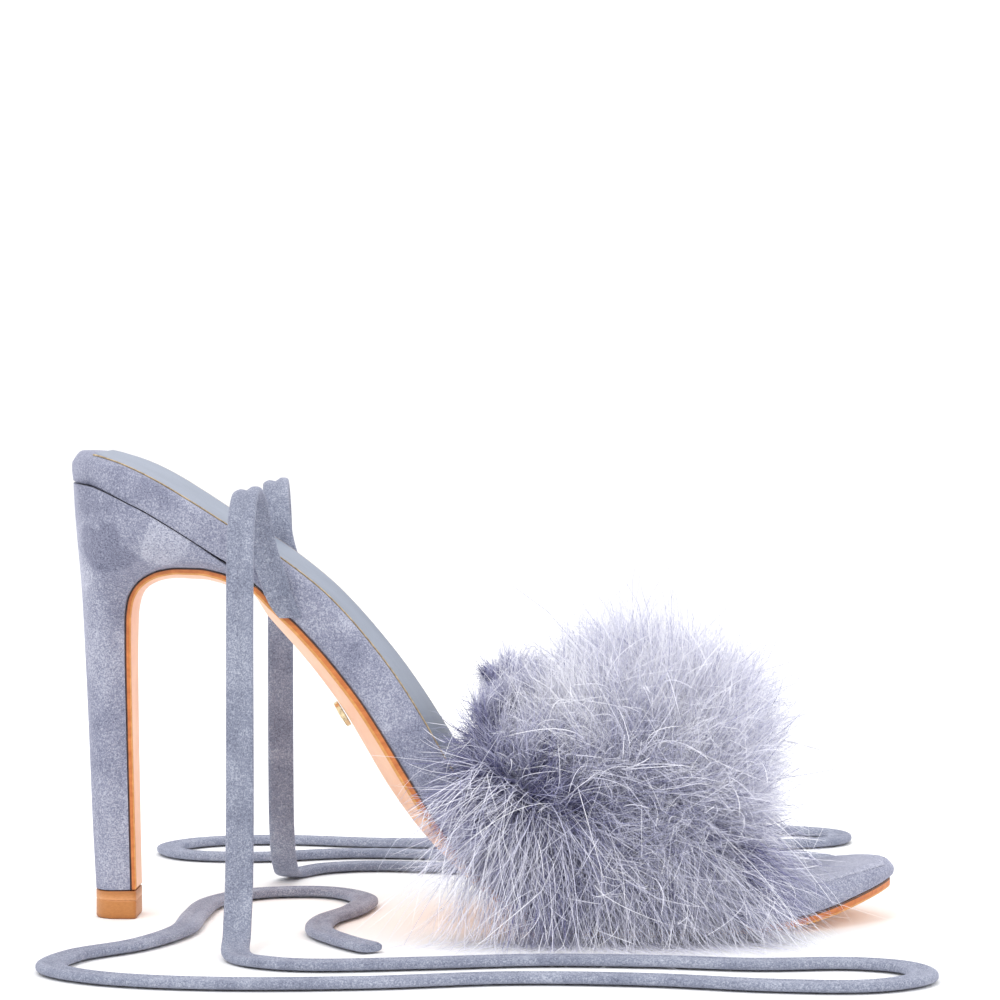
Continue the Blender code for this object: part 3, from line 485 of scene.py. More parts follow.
def suede(name, dark, middle, light, patch=0.020, stroke=0.09, spots=()):
    """Brushed suede: a fine nap, soft clouds, patches where it was stroked another way, and any spots
    of painted shade and painted light.
    """
    shader = Shader(name)
    shader.plain(Sheen_Weight=0.35, Sheen_Roughness=0.45, Specular_IOR_Level=0.15)
    shader.surface.inputs["Sheen Tint"].default_value = srgb(225, 226, 245)
    cloud = shader.noise(patch, 2.0, 0.5, 1.2)
    stroked = shader.shift(shader.noise(patch * 1.6, 1.5, 0.45, 0.5), 0.0, 1.0, 0.485, 0.535)
    streak = shader.noise(0.0030, 3.0, 0.6, 0.6, (1.0, 1.0, 0.45))
    grain = shader.noise(0.00036, 1.0, 0.5)
    fleck = shader.noise(0.0007, 2.0, 0.7)
    tone = shader.sum(grain, fleck, 0.55)
    for value, weight in ((cloud, 0.42), (streak, 0.25), (stroked, stroke)):
        tone = shader.sum(tone, value, weight)
    # spots: round patches painted darker and paler, painted shade and painted light laid over the nap
    for centre, radius, weight in spots:
        tone = shader.sum(tone, shader.spot(centre, radius), weight)
    tone = shader.shift(tone, 0.0, 1.0, 0.70, 1.57)
    shader.plain(Base_Color=shader.ramp(tone, (0.0, dark), (0.5, middle), (1.0, light)))
    shader.plain(Roughness=shader.shift(streak, 0.85, 1.0))
    shader.bump(shader.sum(grain, fleck, 0.8), 0.00018, 0.7)
    return shader.material


def sock_leather():
    sock = Shader("sock_leather")
    haze = sock.noise(0.018, 3.0)
    sock.plain(Base_Color=sock.ramp(haze, (0.25, (112, 122, 142)), (0.75, (132, 141, 160))))
    sock.plain(Roughness=sock.shift(haze, 0.48, 0.62))
    sock.bump(sock.cells(0.0006), 0.00006, 0.5)
    sock.plain(Coat_Weight=0.08, Coat_Roughness=0.35)
    return sock.material


def sole_edge(name, low, high):
    edge = Shader(name)
    fibre = edge.noise(0.0016, 4.0, 0.6, 0.3, (0.5, 1.0, 1.0))
    edge.plain(Base_Color=edge.ramp(fibre, (0.25, low), (0.75, high)))
    edge.plain(Roughness=edge.shift(fibre, 0.38, 0.55))
    edge.bump(fibre, 0.00008, 0.6)
    return edge.material


def sole_leather():
    sole = Shader("sole_leather_peach")
    cloud = sole.noise(0.012, 4.0, 0.55, 0.5)
    grain = sole.noise(0.0007, 2.0)
    tone = sole.sum(cloud, grain, 0.35)
    sole.plain(Base_Color=sole.ramp(tone, (0.35, (240, 178, 140)), (0.95, (252, 208, 176))))
    sole.plain(Roughness=sole.shift(grain, 0.42, 0.58))
    sole.bump(grain, 0.00005, 0.6)
    sole.plain(Coat_Weight=0.15, Coat_Roughness=0.3)
    return sole.material


def tip_stack():
    """The layers of the heel tip, read from its height."""
    tip = Shader("heel_tip_tan")
    apart = tip.add("SeparateXYZ", Vector=tip.place)
    speckle = tip.noise(0.0009, 3.0, 0.6, 0.0, (1.0, 1.0, 3.0))
    height = tip.shift(apart.outputs["Z"], 0.0, 1.0, 0.0, TIP_HEIGHT)
    layers = tip.ramp(height, *TIP_LAYERS)
    tip.plain(Base_Color=tip.mix(tip.shift(speckle, 0.0, 0.35, 0.35, 0.7), layers, srgb(150, 90, 40)))
    tip.plain(Roughness=tip.shift(speckle, 0.35, 0.55))
    tip.bump(speckle, 0.00005, 0.5)
    return tip.material


def raw_edge():
    thread = Shader("raw_edge_golden")
    fleck = thread.noise(0.0012, 3.0)
    thread.plain(Base_Color=thread.ramp(fleck, (0.3, (132, 112, 88)), (0.7, (204, 182, 146))))
    thread.plain(Roughness=0.7)
    thread.bump(fleck, 0.0001, 0.6)
    return thread.material


def stud_metal():
    gold = Shader("stud_pale_gold")
    wear = gold.noise(0.0040, 2.0)
    gold.plain(Base_Color=gold.ramp(wear, (0.3, (228, 204, 162)), (0.7, (236, 214, 174))))
    gold.plain(Roughness=gold.shift(wear, 0.22, 0.30))
    gold.plain(Metallic=1.0)
    return gold.material


def feather_barbs():
    feather = Shader("feather_lavender_with_painted_light")
    # the tone attribute brings in painted light, painted shade and painted highlights along with the
    # barbs' own tone
    feather.plain(Base_Color=feather.ramp(feather.attribute("tone"), *FEATHER_TONES))
    feather.plain(Roughness=0.75, Sheen_Weight=0.15, Specular_IOR_Level=0.25)
    return feather.material


def make_materials():
    made = {key: suede(name, *tones, **ways) for key, name, *tones, ways in SUEDES}
    made["sock"] = sock_leather()
    for key, name, low, high in SOLE_EDGES:
        made[key] = sole_edge(name, low, high)
    made["sole"] = sole_leather()
    made["tip"] = tip_stack()
    made["thread"] = raw_edge()
    made["gold"] = stud_metal()
    made["feather"] = feather_barbs()
    return made


# The surfaces

def curve_through(rows, column, at):
    """The smooth curve through one column of a table, with no overshoot between its rows."""
    table = np.array(rows)
    xs, ys = table[:, 0], table[:, column]
    step = np.diff(xs)
    rise = np.diff(ys) / step
    slope = np.zeros(len(xs))
    same_way = rise[:-1] * rise[1:] > 0
    before, after = 2 * step[1:] + step[:-1], step[1:] + 2 * step[:-1]
    safe = np.where(same_way, rise[:-1] * rise[1:], 1.0)
    mean = (before + after) * safe / (before * rise[1:] + after * rise[:-1] + 1e-30)
    slope[1:-1] = np.where(same_way, mean, 0.0)
    slope[0], slope[-1] = rise[0], rise[-1]
    at = np.clip(np.asarray(at, float), xs[0], xs[-1])
    row = np.clip(np.searchsorted(xs, at, side="right") - 1, 0, len(step) - 1)
    t = (at - xs[row]) / step[row]
    return (
        ys[row] * (1 + 2 * t) * (1 - t) ** 2
        + slope[row] * step[row] * t * (1 - t) ** 2
        + ys[row + 1] * t**2 * (3 - 2 * t)
        + slope[row + 1] * step[row] * t**2 * (t - 1)
    )


def ease(value):
    value = np.clip(value, 0.0, 1.0)
    return value * value * (3 - 2 * value)


def unit(vectors):
    return vectors / np.maximum(np.linalg.norm(vectors, axis=-1, keepdims=True), 1e-9)


def circle(first, second, count):
    """Directions evenly spaced round a circle through two others."""
    angles = [2 * math.pi * k / count for k in range(count)]
    return [first * math.cos(angle) + second * math.sin(angle) for angle in angles]


def half_width(x):
    x = np.asarray(x, float)
    into_heel = np.clip((HEEL_ROUND_START - x) / (HEEL_ROUND_START - SHOE_BACK), 0, 1)
    into_toe = np.clip((x - TOE_ROUND_START) / (SHOE_TOE - TOE_ROUND_START), 0, 1)
    heel_end = (1 - into_heel**2) ** HEEL_ROUND_POWER
    toe_end = (1 - into_toe**2) ** TOE_ROUND_POWER
    return curve_through(LAST, LAST_HALF, x) * heel_end * toe_end


class Surface:
    """A long surface that sizes are measured from: its line, and which way is down into it."""

    def __init__(self, line, down):
        self.line = line
        self.down = down
        steps = np.linalg.norm(np.diff(line, axis=0), axis=1)
        self.along = np.concatenate([[0.0], np.cumsum(steps)])
        self.length = self.along[-1]

    def line_at(self, s):
        return np.stack([np.interp(s, self.along, self.line[:, k]) for k in (0, 1)], axis=-1)

    def down_at(self, s):
        return unit(np.stack([np.interp(s, self.along, self.down[:, k]) for k in (0, 1)], axis=-1))

    def station(self, x):
        return np.interp(x, self.line[:, 0], self.along)

    def place(self, s, y, depth):
        """World points at s along the line, y across it and depth below it."""
        flat = self.line_at(s) + self.down_at(s) * np.asarray(depth)[..., None]
        return np.stack([flat[..., 0], np.broadcast_to(y, flat[..., 0].shape), flat[..., 1]], axis=-1)


def make_footbed_surface():
    x = np.linspace(SHOE_BACK, SHOE_TOE, 900)
    z = curve_through(LAST, LAST_TOP, x)
    tilt = np.arctan(np.gradient(z, x))
    square = ease((x - SHOE_BACK) / 0.030) * (1 - 0.8 * ease((x - 0.070) / 0.030))
    tilt = tilt * square
    return Surface(np.stack([x, z], axis=1), np.stack([np.sin(tilt), -np.cos(tilt)], axis=1))


FOOTBED = make_footbed_surface()


def stations(start, end, count, bunching):
    """Places from start to end, drawn towards both ends by the bunching."""
    even = np.linspace(0, 1, count)
    bunched = (1 - np.cos(math.pi * even)) / 2
    return start + (end - start) * ((1 - bunching) * even + bunching * bunched)


FOOTBED_ROWS = stations(0.00004, FOOTBED.length - 0.00004, 220, 0.8)


def footbed_x(s):
    return FOOTBED.line_at(s)[..., 0]


def slab_depth(s):
    return curve_through(LAST, LAST_SLAB, footbed_x(s))


def across_share(s, y):
    x = footbed_x(s)
    half = np.maximum(half_width(x), 0.002)
    return np.clip(np.abs(y - curve_through(LAST, LAST_SHIFT, x)) / half, 0, 1)


def rim_fall(s, y):
    """How far the footbed's top falls off towards its edge, at the heel's back and at the toe."""
    x = footbed_x(s)
    x_after = footbed_x(np.asarray(s) + 0.0002)
    slope = (half_width(x_after) - half_width(x)) / np.maximum(x_after - x, 1e-6)
    inside = half_width(x) - np.abs(y - curve_through(LAST, LAST_SHIFT, x))
    distance = np.maximum(inside, 0) / np.sqrt(1 + slope**2)
    back = RIM_FALL_BACK * (1 - ease((x - SHOE_BACK) / 0.020))
    toe = RIM_FALL_TOE * ease((x - 0.070) / 0.030)
    return (back + toe) * np.clip(1 - distance / RIM_FALL_WIDTH, 0, 1) ** 2


def footbed_bottom_depth(s, y):
    belly = curve_through(LAST, LAST_BELLY, footbed_x(s))
    return slab_depth(s) + belly * (1 - across_share(s, y) ** 2)


def breast_line(share):
    """x, z, half width and belly at a share of the way from the tip to the front of the heel."""
    table = np.array(BREAST)
    steps = np.linalg.norm(np.diff(table[:, :2], axis=0), axis=1)
    along = np.concatenate([[0.0], np.cumsum(steps)]) / steps.sum()
    rows = np.column_stack([along, table])
    return [curve_through(rows, column, share) for column in (1, 2, 3, 4)]


def breast_normal(share):
    ahead = np.clip(np.asarray(share) + 0.01, 0, 1)
    behind = np.clip(np.asarray(share) - 0.01, 0, 1)
    x1, z1 = breast_line(ahead)[:2]
    x0, z0 = breast_line(behind)[:2]
    length = np.hypot(x1 - x0, z1 - z0)
    return np.stack([(z1 - z0) / length, -(x1 - x0) / length], axis=-1)


def make_sole_surface():
    """The top edge of the outsole, up the breast, along the heel block and on under the footbed."""
    share = np.linspace(0, 1, 200)
    x, z, half, belly = breast_line(share)
    normal = breast_normal(share)
    rear = np.stack([x, z], axis=1) + normal * GAP
    s = np.linspace(FOOTBED.station(-0.0520), FOOTBED.length, 700)
    depth = slab_depth(s) + GAP
    front = FOOTBED.line_at(s) + FOOTBED.down_at(s) * depth[:, None]
    surface = Surface(np.concatenate([rear, front]), np.concatenate([normal, FOOTBED.down_at(s)]))
    fore_x = footbed_x(s)
    fore_half = half_width(fore_x) - SOLE_INSET
    surface.half = np.concatenate([half, np.maximum(fore_half, 0.0001)])
    surface.belly_half = np.concatenate([half, np.maximum(half_width(fore_x), 0.002)])
    surface.shift = np.concatenate([0 * half, curve_through(LAST, LAST_SHIFT, fore_x)])
    surface.belly = np.concatenate([belly, curve_through(LAST, LAST_BELLY, fore_x)])
    surface.thick = curve_through(SOLE_THICKNESS, 1, surface.line[:, 0])
    surface.heel_end = surface.along[len(share) - 1]
    surface.fore_start = surface.along[len(share)]
    return surface


SOLE = make_sole_surface()


def along_sole(name, s):
    return np.interp(s, SOLE.along, getattr(SOLE, name))


def sole_top_depth(s, y):
    half = along_sole("belly_half", s)
    share = np.clip(np.abs(y - along_sole("shift", s)) / half, 0, 1)
    return along_sole("belly", s) * (1 - share**2)


def sole_bottom_depth(s, y):
    return sole_top_depth(s, y) + along_sole("thick", s)


# Mesh building

def place_piece(name, mesh, materials, slot, *replaced):
    """Puts a finished mesh in the scene, riding on the shoe and standing for its solids."""
    piece = bpy.data.objects.new(name, mesh)
    bpy.context.scene.collection.objects.link(piece)
    for material in materials:
        mesh.materials.append(material)
    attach(piece, "root")
    if replaced:
        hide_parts(*replaced)
    return piece


def finish_mesh(name, builder, sharp_degrees=40):
    bmesh.ops.recalc_face_normals(builder, faces=builder.faces)
    mesh = bpy.data.meshes.new(name)
    builder.to_mesh(mesh)
    builder.free()
    mesh.shade_smooth()
    mesh.set_sharp_from_angle(angle=math.radians(sharp_degrees))
    return mesh


def add_ring(builder, points):
    return [builder.verts.new(tuple(point)) for point in points]


def join_rings(builder, first, second, material=0):
    count = len(first)
    for k in range(count):
        after = (k + 1) % count
        face = builder.faces.new((first[k], first[after], second[after], second[k]))
        face.material_index = material


def loft(builder, rings, capped=True):
    """A skin over rings one after the other, with a face over each end."""
    for first, second in zip(rings, rings[1:]):
        join_rings(builder, first, second)
    if capped:
        builder.faces.new(rings[0])
        builder.faces.new(rings[-1])


def join_rows(builder, first, second, material=0):
    for k in range(len(first) - 1):
        face = builder.faces.new((first[k], first[k + 1], second[k + 1], second[k]))
        face.material_index = material


def offset_loop(loop, inset):
    """A closed outline moved inwards by this much."""
    ahead = unit(np.roll(loop, -1, axis=0) - loop)
    behind = unit(loop - np.roll(loop, 1, axis=0))
    along = unit(ahead + behind)
    outward = np.stack([-along[:, 1], along[:, 0]], axis=1)
    return loop - outward * inset


def fill_plate(builder, surface, s, inner, outer, levels, top_depth, bottom_depth, across):
    """A closed plate that follows a surface.

    inner and outer are the outline's y at each station s. levels are rings from the top
    edge to the bottom edge: an inset, the share of the way down, and the material below it.
    """
    count = len(s)
    loop = np.concatenate([np.stack([s, inner], 1), np.stack([s, outer], 1)[::-1]])
    rings = []
    for inset, share, material in levels:
        edge = offset_loop(loop, inset)
        depth = (1 - share) * top_depth(edge[:, 0], edge[:, 1])
        depth = depth + share * bottom_depth(edge[:, 0], edge[:, 1])
        verts = add_ring(builder, surface.place(edge[:, 0], edge[:, 1], depth))
        rings.append((edge, verts, material))
    for first, second in zip(rings, rings[1:]):
        join_rings(builder, first[1], second[1], first[2])
    for (edge, verts, material), depth_of in ((rings[0], top_depth), (rings[-1], bottom_depth)):
        fill = material if depth_of is bottom_depth else 0
        rows = []
        for k in range(1, count - 1):
            start, end = edge[k], edge[2 * count - 1 - k]
            spots = np.array([start + (end - start) * j / across for j in range(1, across)])
            depth = depth_of(spots[:, 0], spots[:, 1])
            middle = add_ring(builder, surface.place(spots[:, 0], spots[:, 1], depth))
            rows.append([verts[k], *middle, verts[2 * count - 1 - k]])
        for first, second in zip(rows, rows[1:]):
            join_rows(builder, first, second, fill)
        for cap in (
            (verts[0], verts[2 * count - 1], *reversed(rows[0])),
            (verts[count - 1], verts[count], *reversed(rows[-1])),
        ):
            builder.faces.new(cap).material_index = fill


def outline_on_footbed(s, inset=0.0):
    x = footbed_x(s)
    half = np.maximum(half_width(x) - inset, 0.0006)
    shift = curve_through(LAST, LAST_SHIFT, x)
    return shift + half, shift - half


# The pieces

def make_footbed(looks):
    s = FOOTBED_ROWS
    inner, outer = outline_on_footbed(s)
    levels = [(RIM_ROUND, 0.0, 0)]
    for k in range(1, 6):
        angle = math.pi / 2 * k / 6
        inset = RIM_ROUND * (1 - math.sin(angle)) - RIM_BULGE * k / 6
        levels.append((inset, 0.24 * (1 - math.cos(angle)), 0))
    levels += [(-RIM_BULGE, 0.30, 0), (-RIM_BULGE, 0.55, 0), (-0.0001, 0.80, 0), (0.0, 0.93, 0)]
    levels += [(0.0003, 0.98, 0), (0.0008, 1.0, 0)]
    builder = bmesh.new()
    fill_plate(
        builder, FOOTBED, s, inner, outer, levels, rim_fall, footbed_bottom_depth, 24
    )
    mesh = finish_mesh("footbed_suede", builder)
    place_piece("footbed_suede", mesh, [looks["suede"]], "suede", "footbed")


def sock_bottom_depth(s, y):
    return rim_fall(s, y) - SOCK_REST


def sock_top_depth(s, y):
    onto_toe = ease((footbed_x(s) - SOCK_LEATHER_END) / 0.010)
    dish = SOCK_DISH * (1 - across_share(s, y) ** 2)
    return sock_bottom_depth(s, y) - SOCK_THICKNESS * (1 - 0.7 * onto_toe) + dish * (1 - onto_toe)


def make_sock(looks):
    """The sock: smooth leather to the ball, and suede from there to the toe, painted paler as painted
    light on its top.
    """
    s = stations(SOCK_BACK, FOOTBED.length - SOCK_INSET, 180, 0.8)
    inner, outer = outline_on_footbed(s, SOCK_INSET)
    levels = ((0.0005, 0.0, 0), (0.0001, 0.3, 0), (0.0, 1.0, 0))
    builder = bmesh.new()
    fill_plate(
        builder, FOOTBED, s, inner, outer, levels, sock_top_depth, sock_bottom_depth, 24
    )
    for face in builder.faces:
        if face.calc_center_median()[0] > SOCK_LEATHER_END:
            face.material_index = 1
    mesh = finish_mesh("sock_leather", builder)
    place_piece("sock_leather", mesh, [looks["sock"], looks["toe_suede_painted_light"]], "sock_leather", "sock")
    make_edge_line(looks, s, inner, outer)


def make_edge_line(looks, s, inner, outer):
    """The raw golden edge that shows between the sock and the suede of the rim."""
    kept = footbed_x(s) < SOCK_LEATHER_END
    s, inner, outer = s[kept], inner[kept], outer[kept]
    path = np.concatenate([np.stack([s, inner], 1)[::-1], np.stack([s, outer], 1)])
    depth = rim_fall(path[:, 0], path[:, 1]) - EDGE_LINE_RADIUS
    points = FOOTBED.place(path[:, 0], path[:, 1], depth)
    ahead = unit(np.gradient(points, axis=0))
    builder = bmesh.new()
    rings = []
    for spot, direction in zip(points, ahead):
        across = np.cross(direction, (0.0, 0.0, 1.0))
        across /= np.linalg.norm(across)
        round_it = circle(across, np.cross(across, direction), 6)
        rings.append(add_ring(builder, [spot + off * EDGE_LINE_RADIUS for off in round_it]))
    loft(builder, rings)
    mesh = finish_mesh("sock_raw_edge", builder, 80)
    place_piece("sock_raw_edge", mesh, [looks["thread"]], "sock_leather")


def make_outsole(looks):
    toe = SOLE.length - SOLE_TOE_INSET
    fore = stations(SOLE.fore_start, toe, 180, 0.7)
    s = np.concatenate([np.linspace(0, SOLE.heel_end, 90), fore[1:]])
    half = np.maximum(along_sole("half", s), 0.0012)
    shift = along_sole("shift", s)
    levels = (
        (0.0, 0.0, 2),
        (0.0, 0.17, 1),
        (0.00003, 0.50, 1),
        (0.00008, 0.74, 3),
        (0.00025, 0.92, 3),
        (0.0007, 1.0, 0),
        (0.0011, 1.0, 0),
    )
    builder = bmesh.new()
    fill_plate(
        builder, SOLE, s, shift + half, shift - half, levels, sole_top_depth, sole_bottom_depth, 12
    )
    mesh = finish_mesh("outsole_leather", builder)
    materials = [looks[key] for key in ("sole", "edge", "edge_dark", "edge_golden")]
    place_piece("outsole_leather", mesh, materials, "sole_leather", "outsole")


def seat_curve(x):
    s = np.linspace(0, FOOTBED.length * 0.5, 400)
    under = FOOTBED.line_at(s) + FOOTBED.down_at(s) * (slab_depth(s) + GAP)[:, None]
    drop = LIP_DROP * float(ease((x - LIP_START) / 0.008))
    return float(np.interp(x, under[:, 0], under[:, 1])) - drop


def seat_chord(x, front):
    back_x, back_z = HEEL[-1][HEEL_BACK_X], HEEL[-1][HEEL_BACK_Z]
    share = (x - front[0]) / (back_x - front[0])
    return front[1] + (back_z - front[1]) * share


HEEL_FRONT_STEPS = 8
HEEL_SIDE_STEPS = 26


def heel_ring(row, seat_front):
    """One ring of the heel block: its flat front first, then round the back."""
    share, back_x, back_z, widest, seat = row
    front_x, front_z, front_half, belly = (float(v) for v in breast_line(share))
    facing = breast_normal(share)
    points = []
    for across in np.linspace(-1, 1, HEEL_FRONT_STEPS + 1):
        push = belly * (1 - across**2)
        points.append(
            (front_x + facing[0] * push, across * front_half, front_z + facing[1] * push)
        )
    side = []
    for k in range(1, HEEL_SIDE_STEPS):
        t = (1 - math.cos(math.pi * k / HEEL_SIDE_STEPS)) / 2
        x = front_x + (back_x - front_x) * t
        z = front_z + (back_z - front_z) * t
        if t < HEEL_WIDEST:
            narrow = front_half / widest
            stem = widest * (narrow + (1 - narrow) * math.sin(math.pi / 2 * t / HEEL_WIDEST))
        else:
            stem = widest * math.sqrt(1 - ((t - HEEL_WIDEST) / (1 - HEEL_WIDEST)) ** 2)
        seat_half = float(half_width(x + SEAT_AHEAD * seat)) - HEEL_INSET
        y = stem + (seat_half - stem) * seat * ease((x - SHOE_BACK) / 0.004)
        bend = seat**2 * (seat_curve(x) - seat_chord(x, seat_front))
        side.append((x, y, z + bend))
    back = [(back_x, 0.0, back_z)]
    return points + side + back + [(x, -y, z) for x, y, z in reversed(side)]


def make_heel(looks):
    front = tuple(float(v) for v in breast_line(1.0)[:2])
    rows = np.column_stack([np.arange(len(HEEL)), np.array(HEEL)])
    fine = np.linspace(0, len(HEEL) - 1, 90)
    columns = [curve_through(rows, k + 1, fine) for k in range(5)]
    builder = bmesh.new()
    rings = []
    for row in zip(*columns):
        rings.append(add_ring(builder, heel_ring([float(v) for v in row], front)))
    loft(builder, rings, capped=False)
    builder.faces.new(rings[0])
    close_ring(builder, rings[-1])
    mesh = finish_mesh("heel_suede", builder)
    place_piece("heel_suede", mesh, [looks["heel_suede"]], "suede", "heel")


def close_ring(builder, ring):
    """Strips from side to side across a ring that starts with its straight front."""
    first, last = HEEL_FRONT_STEPS + 1, len(ring) - 1
    builder.faces.new((*ring[: first + 1], ring[last]))
    while last - first > 2:
        builder.faces.new((ring[first], ring[first + 1], ring[last - 1], ring[last]))
        first, last = first + 1, last - 1
    builder.faces.new((ring[first], ring[first + 1], ring[last]))


def tip_ring(z, inset):
    """The tip's outline at one height, a D with its flat to the front."""
    back = HEEL[0][HEEL_BACK_X] + inset
    front = TIP_FRONT - inset * 0.5
    half = HEEL[0][HEEL_HALF] + TIP_MARGIN - inset
    shoulder = front - TIP_CORNER
    middle = shoulder - TIP_STRAIGHT
    corner = []
    for k in range(7):
        angle = math.pi / 2 * k / 6
        across = half - TIP_CORNER + TIP_CORNER * math.sin(angle)
        corner.append((shoulder + TIP_CORNER * math.cos(angle), across))
    round_back = []
    for k in range(29):
        angle = math.pi / 2 - math.pi * k / 28
        round_back.append((middle - (middle - back) * math.cos(angle), half * math.sin(angle)))
    outline = corner + round_back + [(x, -y) for x, y in reversed(corner)]
    return [(x, y, z) for x, y in outline]


def make_heel_tip(looks):
    groove = TIP_HEIGHT * 0.66
    levels = (
        (0.0, TIP_ROUND),
        (TIP_ROUND * 0.3, TIP_ROUND * 0.3),
        (TIP_ROUND, 0.0),
        (groove - 0.0002, 0.0),
        (groove, 0.00015),
        (groove + 0.0002, 0.0),
        (TIP_HEIGHT - 0.0002, 0.0),
        (TIP_HEIGHT, 0.0002),
    )
    builder = bmesh.new()
    rings = [add_ring(builder, tip_ring(z, inset)) for z, inset in levels]
    loft(builder, rings)
    mesh = finish_mesh("heel_tip_tan", builder, 30)
    place_piece("heel_tip_tan", mesh, [looks["tip"]], "heel_tip", "heel_tip")


BAND_AROUND = 64
BAND_ALONG = 28
BAND_ROWS = np.column_stack([np.arange(len(BAND)), np.array(BAND)])


def band_frame(share):
    """Base point, upward direction, height, half width and shift of one section of the band."""
    index = share * (len(BAND) - 1)
    foot, crown_x, crown_z = (float(curve_through(BAND_ROWS, k + 1, index)) for k in range(3))
    s = float(FOOTBED.station(foot))
    base = FOOTBED.line_at(s)
    rise = np.array([crown_x, crown_z]) - base
    height = float(np.linalg.norm(rise))
    half = float(half_width(foot)) + BAND_CLEARANCE
    shift = float(curve_through(LAST, LAST_SHIFT, foot))
    leg = base + FOOTBED.down_at(s) * float(slab_depth(s))
    return base, rise / height, height, half, shift, leg


def band_point(section, around, offset):
    """A point over the foot, from the outer side at 0 to the inner side at 1."""
    base, up, height, half, shift, _ = section
    power = 2 / BAND_SQUARENESS
    angle = math.pi * around
    side = math.copysign(abs(math.cos(angle)) ** power, math.cos(angle))
    lift = math.sin(angle) ** power
    spot = base + up * (height + offset) * lift
    return np.array([spot[0], shift - (half + offset) * side + BAND_LEAN_IN * lift, spot[1]])


def make_band(looks):
    around, along = BAND_AROUND, BAND_ALONG
    builder = bmesh.new()
    sheets = []
    for offset in (0.0, BAND_THICKNESS):
        rows = []
        for i in range(along + 1):
            share = i / along
            section = band_frame(share)
            _, _, _, half, shift, leg = section
            points = [band_point(section, j / around, offset) for j in range(around + 1)]
            outer_hem = (leg[0], shift - half - offset, leg[1])
            inner_hem = (leg[0], shift + half + offset, leg[1])
            rows.append(add_ring(builder, [outer_hem, *points, inner_hem]))
        sheets.append(rows)
    for material, sheet in ((1, sheets[0]), (0, sheets[1])):
        for first, second in zip(sheet, sheet[1:]):
            join_rows(builder, first, second, material)
    inside, outside = sheets
    for near, far in ((inside[0], outside[0]), (inside[-1], outside[-1])):
        join_rows(builder, near, far)
    for end in (0, -1):
        join_rows(builder, [row[end] for row in inside], [row[end] for row in outside])
    mesh = finish_mesh("band_suede", builder, 50)
    place_piece("band_suede", mesh, [looks["suede"], looks["lining"]], "suede", "vamp_band")


# share of the stud's radius, height over the sole
STUD_PROFILE = (
    (1.00, 0.00000),
    (1.00, 0.00085),
    (0.97, 0.00110),
    (0.90, 0.00120),
    (0.83, 0.00112),
    (0.79, 0.00098),
    (0.70, 0.00112),
    (0.52, 0.00128),
    (0.30, 0.00138),
)


def make_stud(looks):
    """A plain domed stud with a turned rim."""
    s = SOLE.along[np.argmin(np.abs(SOLE.line[:, 0] - STUD_STATION))]
    step = 0.002
    spot = SOLE.place(s, STUD_SIDE, float(sole_bottom_depth(s, STUD_SIDE)))
    ahead = SOLE.place(s + step, STUD_SIDE, float(sole_bottom_depth(s + step, STUD_SIDE)))
    beside = SOLE.place(s, STUD_SIDE + step, float(sole_bottom_depth(s, STUD_SIDE + step)))
    along = (ahead - spot) / np.linalg.norm(ahead - spot)
    facing = np.cross(beside - spot, along)
    facing /= np.linalg.norm(facing)
    if facing[2] > 0:
        facing = -facing
    round_it = circle(along, np.cross(facing, along), 48)
    builder = bmesh.new()
    rings = []
    for share, rise in STUD_PROFILE:
        lift = facing * (GAP + rise)
        rings.append(add_ring(builder, [spot + off * STUD_RADIUS * share + lift for off in round_it]))
    loft(builder, rings)
    mesh = finish_mesh("stud_gold", builder, 35)
    place_piece("stud_gold", mesh, [looks["gold"]], "stud_metal", "sole_stud")


# The ties

def route_curve(route, step):
    """Evenly spaced points on the smooth curve through a route's own points."""
    knots = np.array(route)
    padded = np.concatenate([[2 * knots[0] - knots[1]], knots, [2 * knots[-1] - knots[-2]]])
    dense = []
    for k in range(1, len(padded) - 2):
        p0, p1, p2, p3 = padded[k - 1 : k + 3]
        for t in np.linspace(0, 1, 24, endpoint=False):
            dense.append(
                0.5
                * (
                    2 * p1
                    + (p2 - p0) * t
                    + (2 * p0 - 5 * p1 + 4 * p2 - p3) * t**2
                    + (3 * p1 - p0 - 3 * p2 + p3) * t**3
                )
            )
    dense.append(padded[-2])
    dense = np.array(dense)
    along = np.concatenate([[0], np.cumsum(np.linalg.norm(np.diff(dense, axis=0), axis=1))])
    count = int(round(along[-1] / step))
    even = np.linspace(0, along[-1], count + 1)
    points = np.stack([np.interp(even, along, dense[:, k]) for k in range(3)], axis=1)
    return points, even


def strap_frames(points, even, face):
    """The width direction and the face of a strap at each point of its route.

    It carries its face along the route, turns slowly as it falls and lies flat on the floor.
    """
    ahead = unit(np.gradient(points, axis=0))
    landing = int(np.argmax(points[:, 2] < TIE_FLAT_BELOW))
    faces = []
    normal = np.array(face, float)
    for direction in ahead:
        normal = normal - direction * float(normal @ direction)
        normal /= np.linalg.norm(normal)
        faces.append(normal)
    carried, direction = faces[landing], ahead[landing]
    flat = np.array([0.0, 0.0, 1.0]) - direction * direction[2]
    flat *= math.copysign(1.0, float(flat @ carried)) / np.linalg.norm(flat)
    turn = math.atan2(float(np.cross(carried, flat) @ direction), float(carried @ flat))
    for k, direction in enumerate(ahead):
        if k > landing:
            normal = np.array([0.0, 0.0, math.copysign(1.0, flat[2])])
            faces[k] = normal - direction * float(normal @ direction)
            faces[k] /= np.linalg.norm(faces[k])
            continue
        share = float(ease((even[k] - TIE_TURN_START) / (even[landing] - TIE_TURN_START)))
        angle = turn * share
        side = np.cross(direction, faces[k])
        faces[k] = faces[k] * math.cos(angle) + side * math.sin(angle)
    faces = np.array(faces)
    return np.cross(ahead, faces), faces


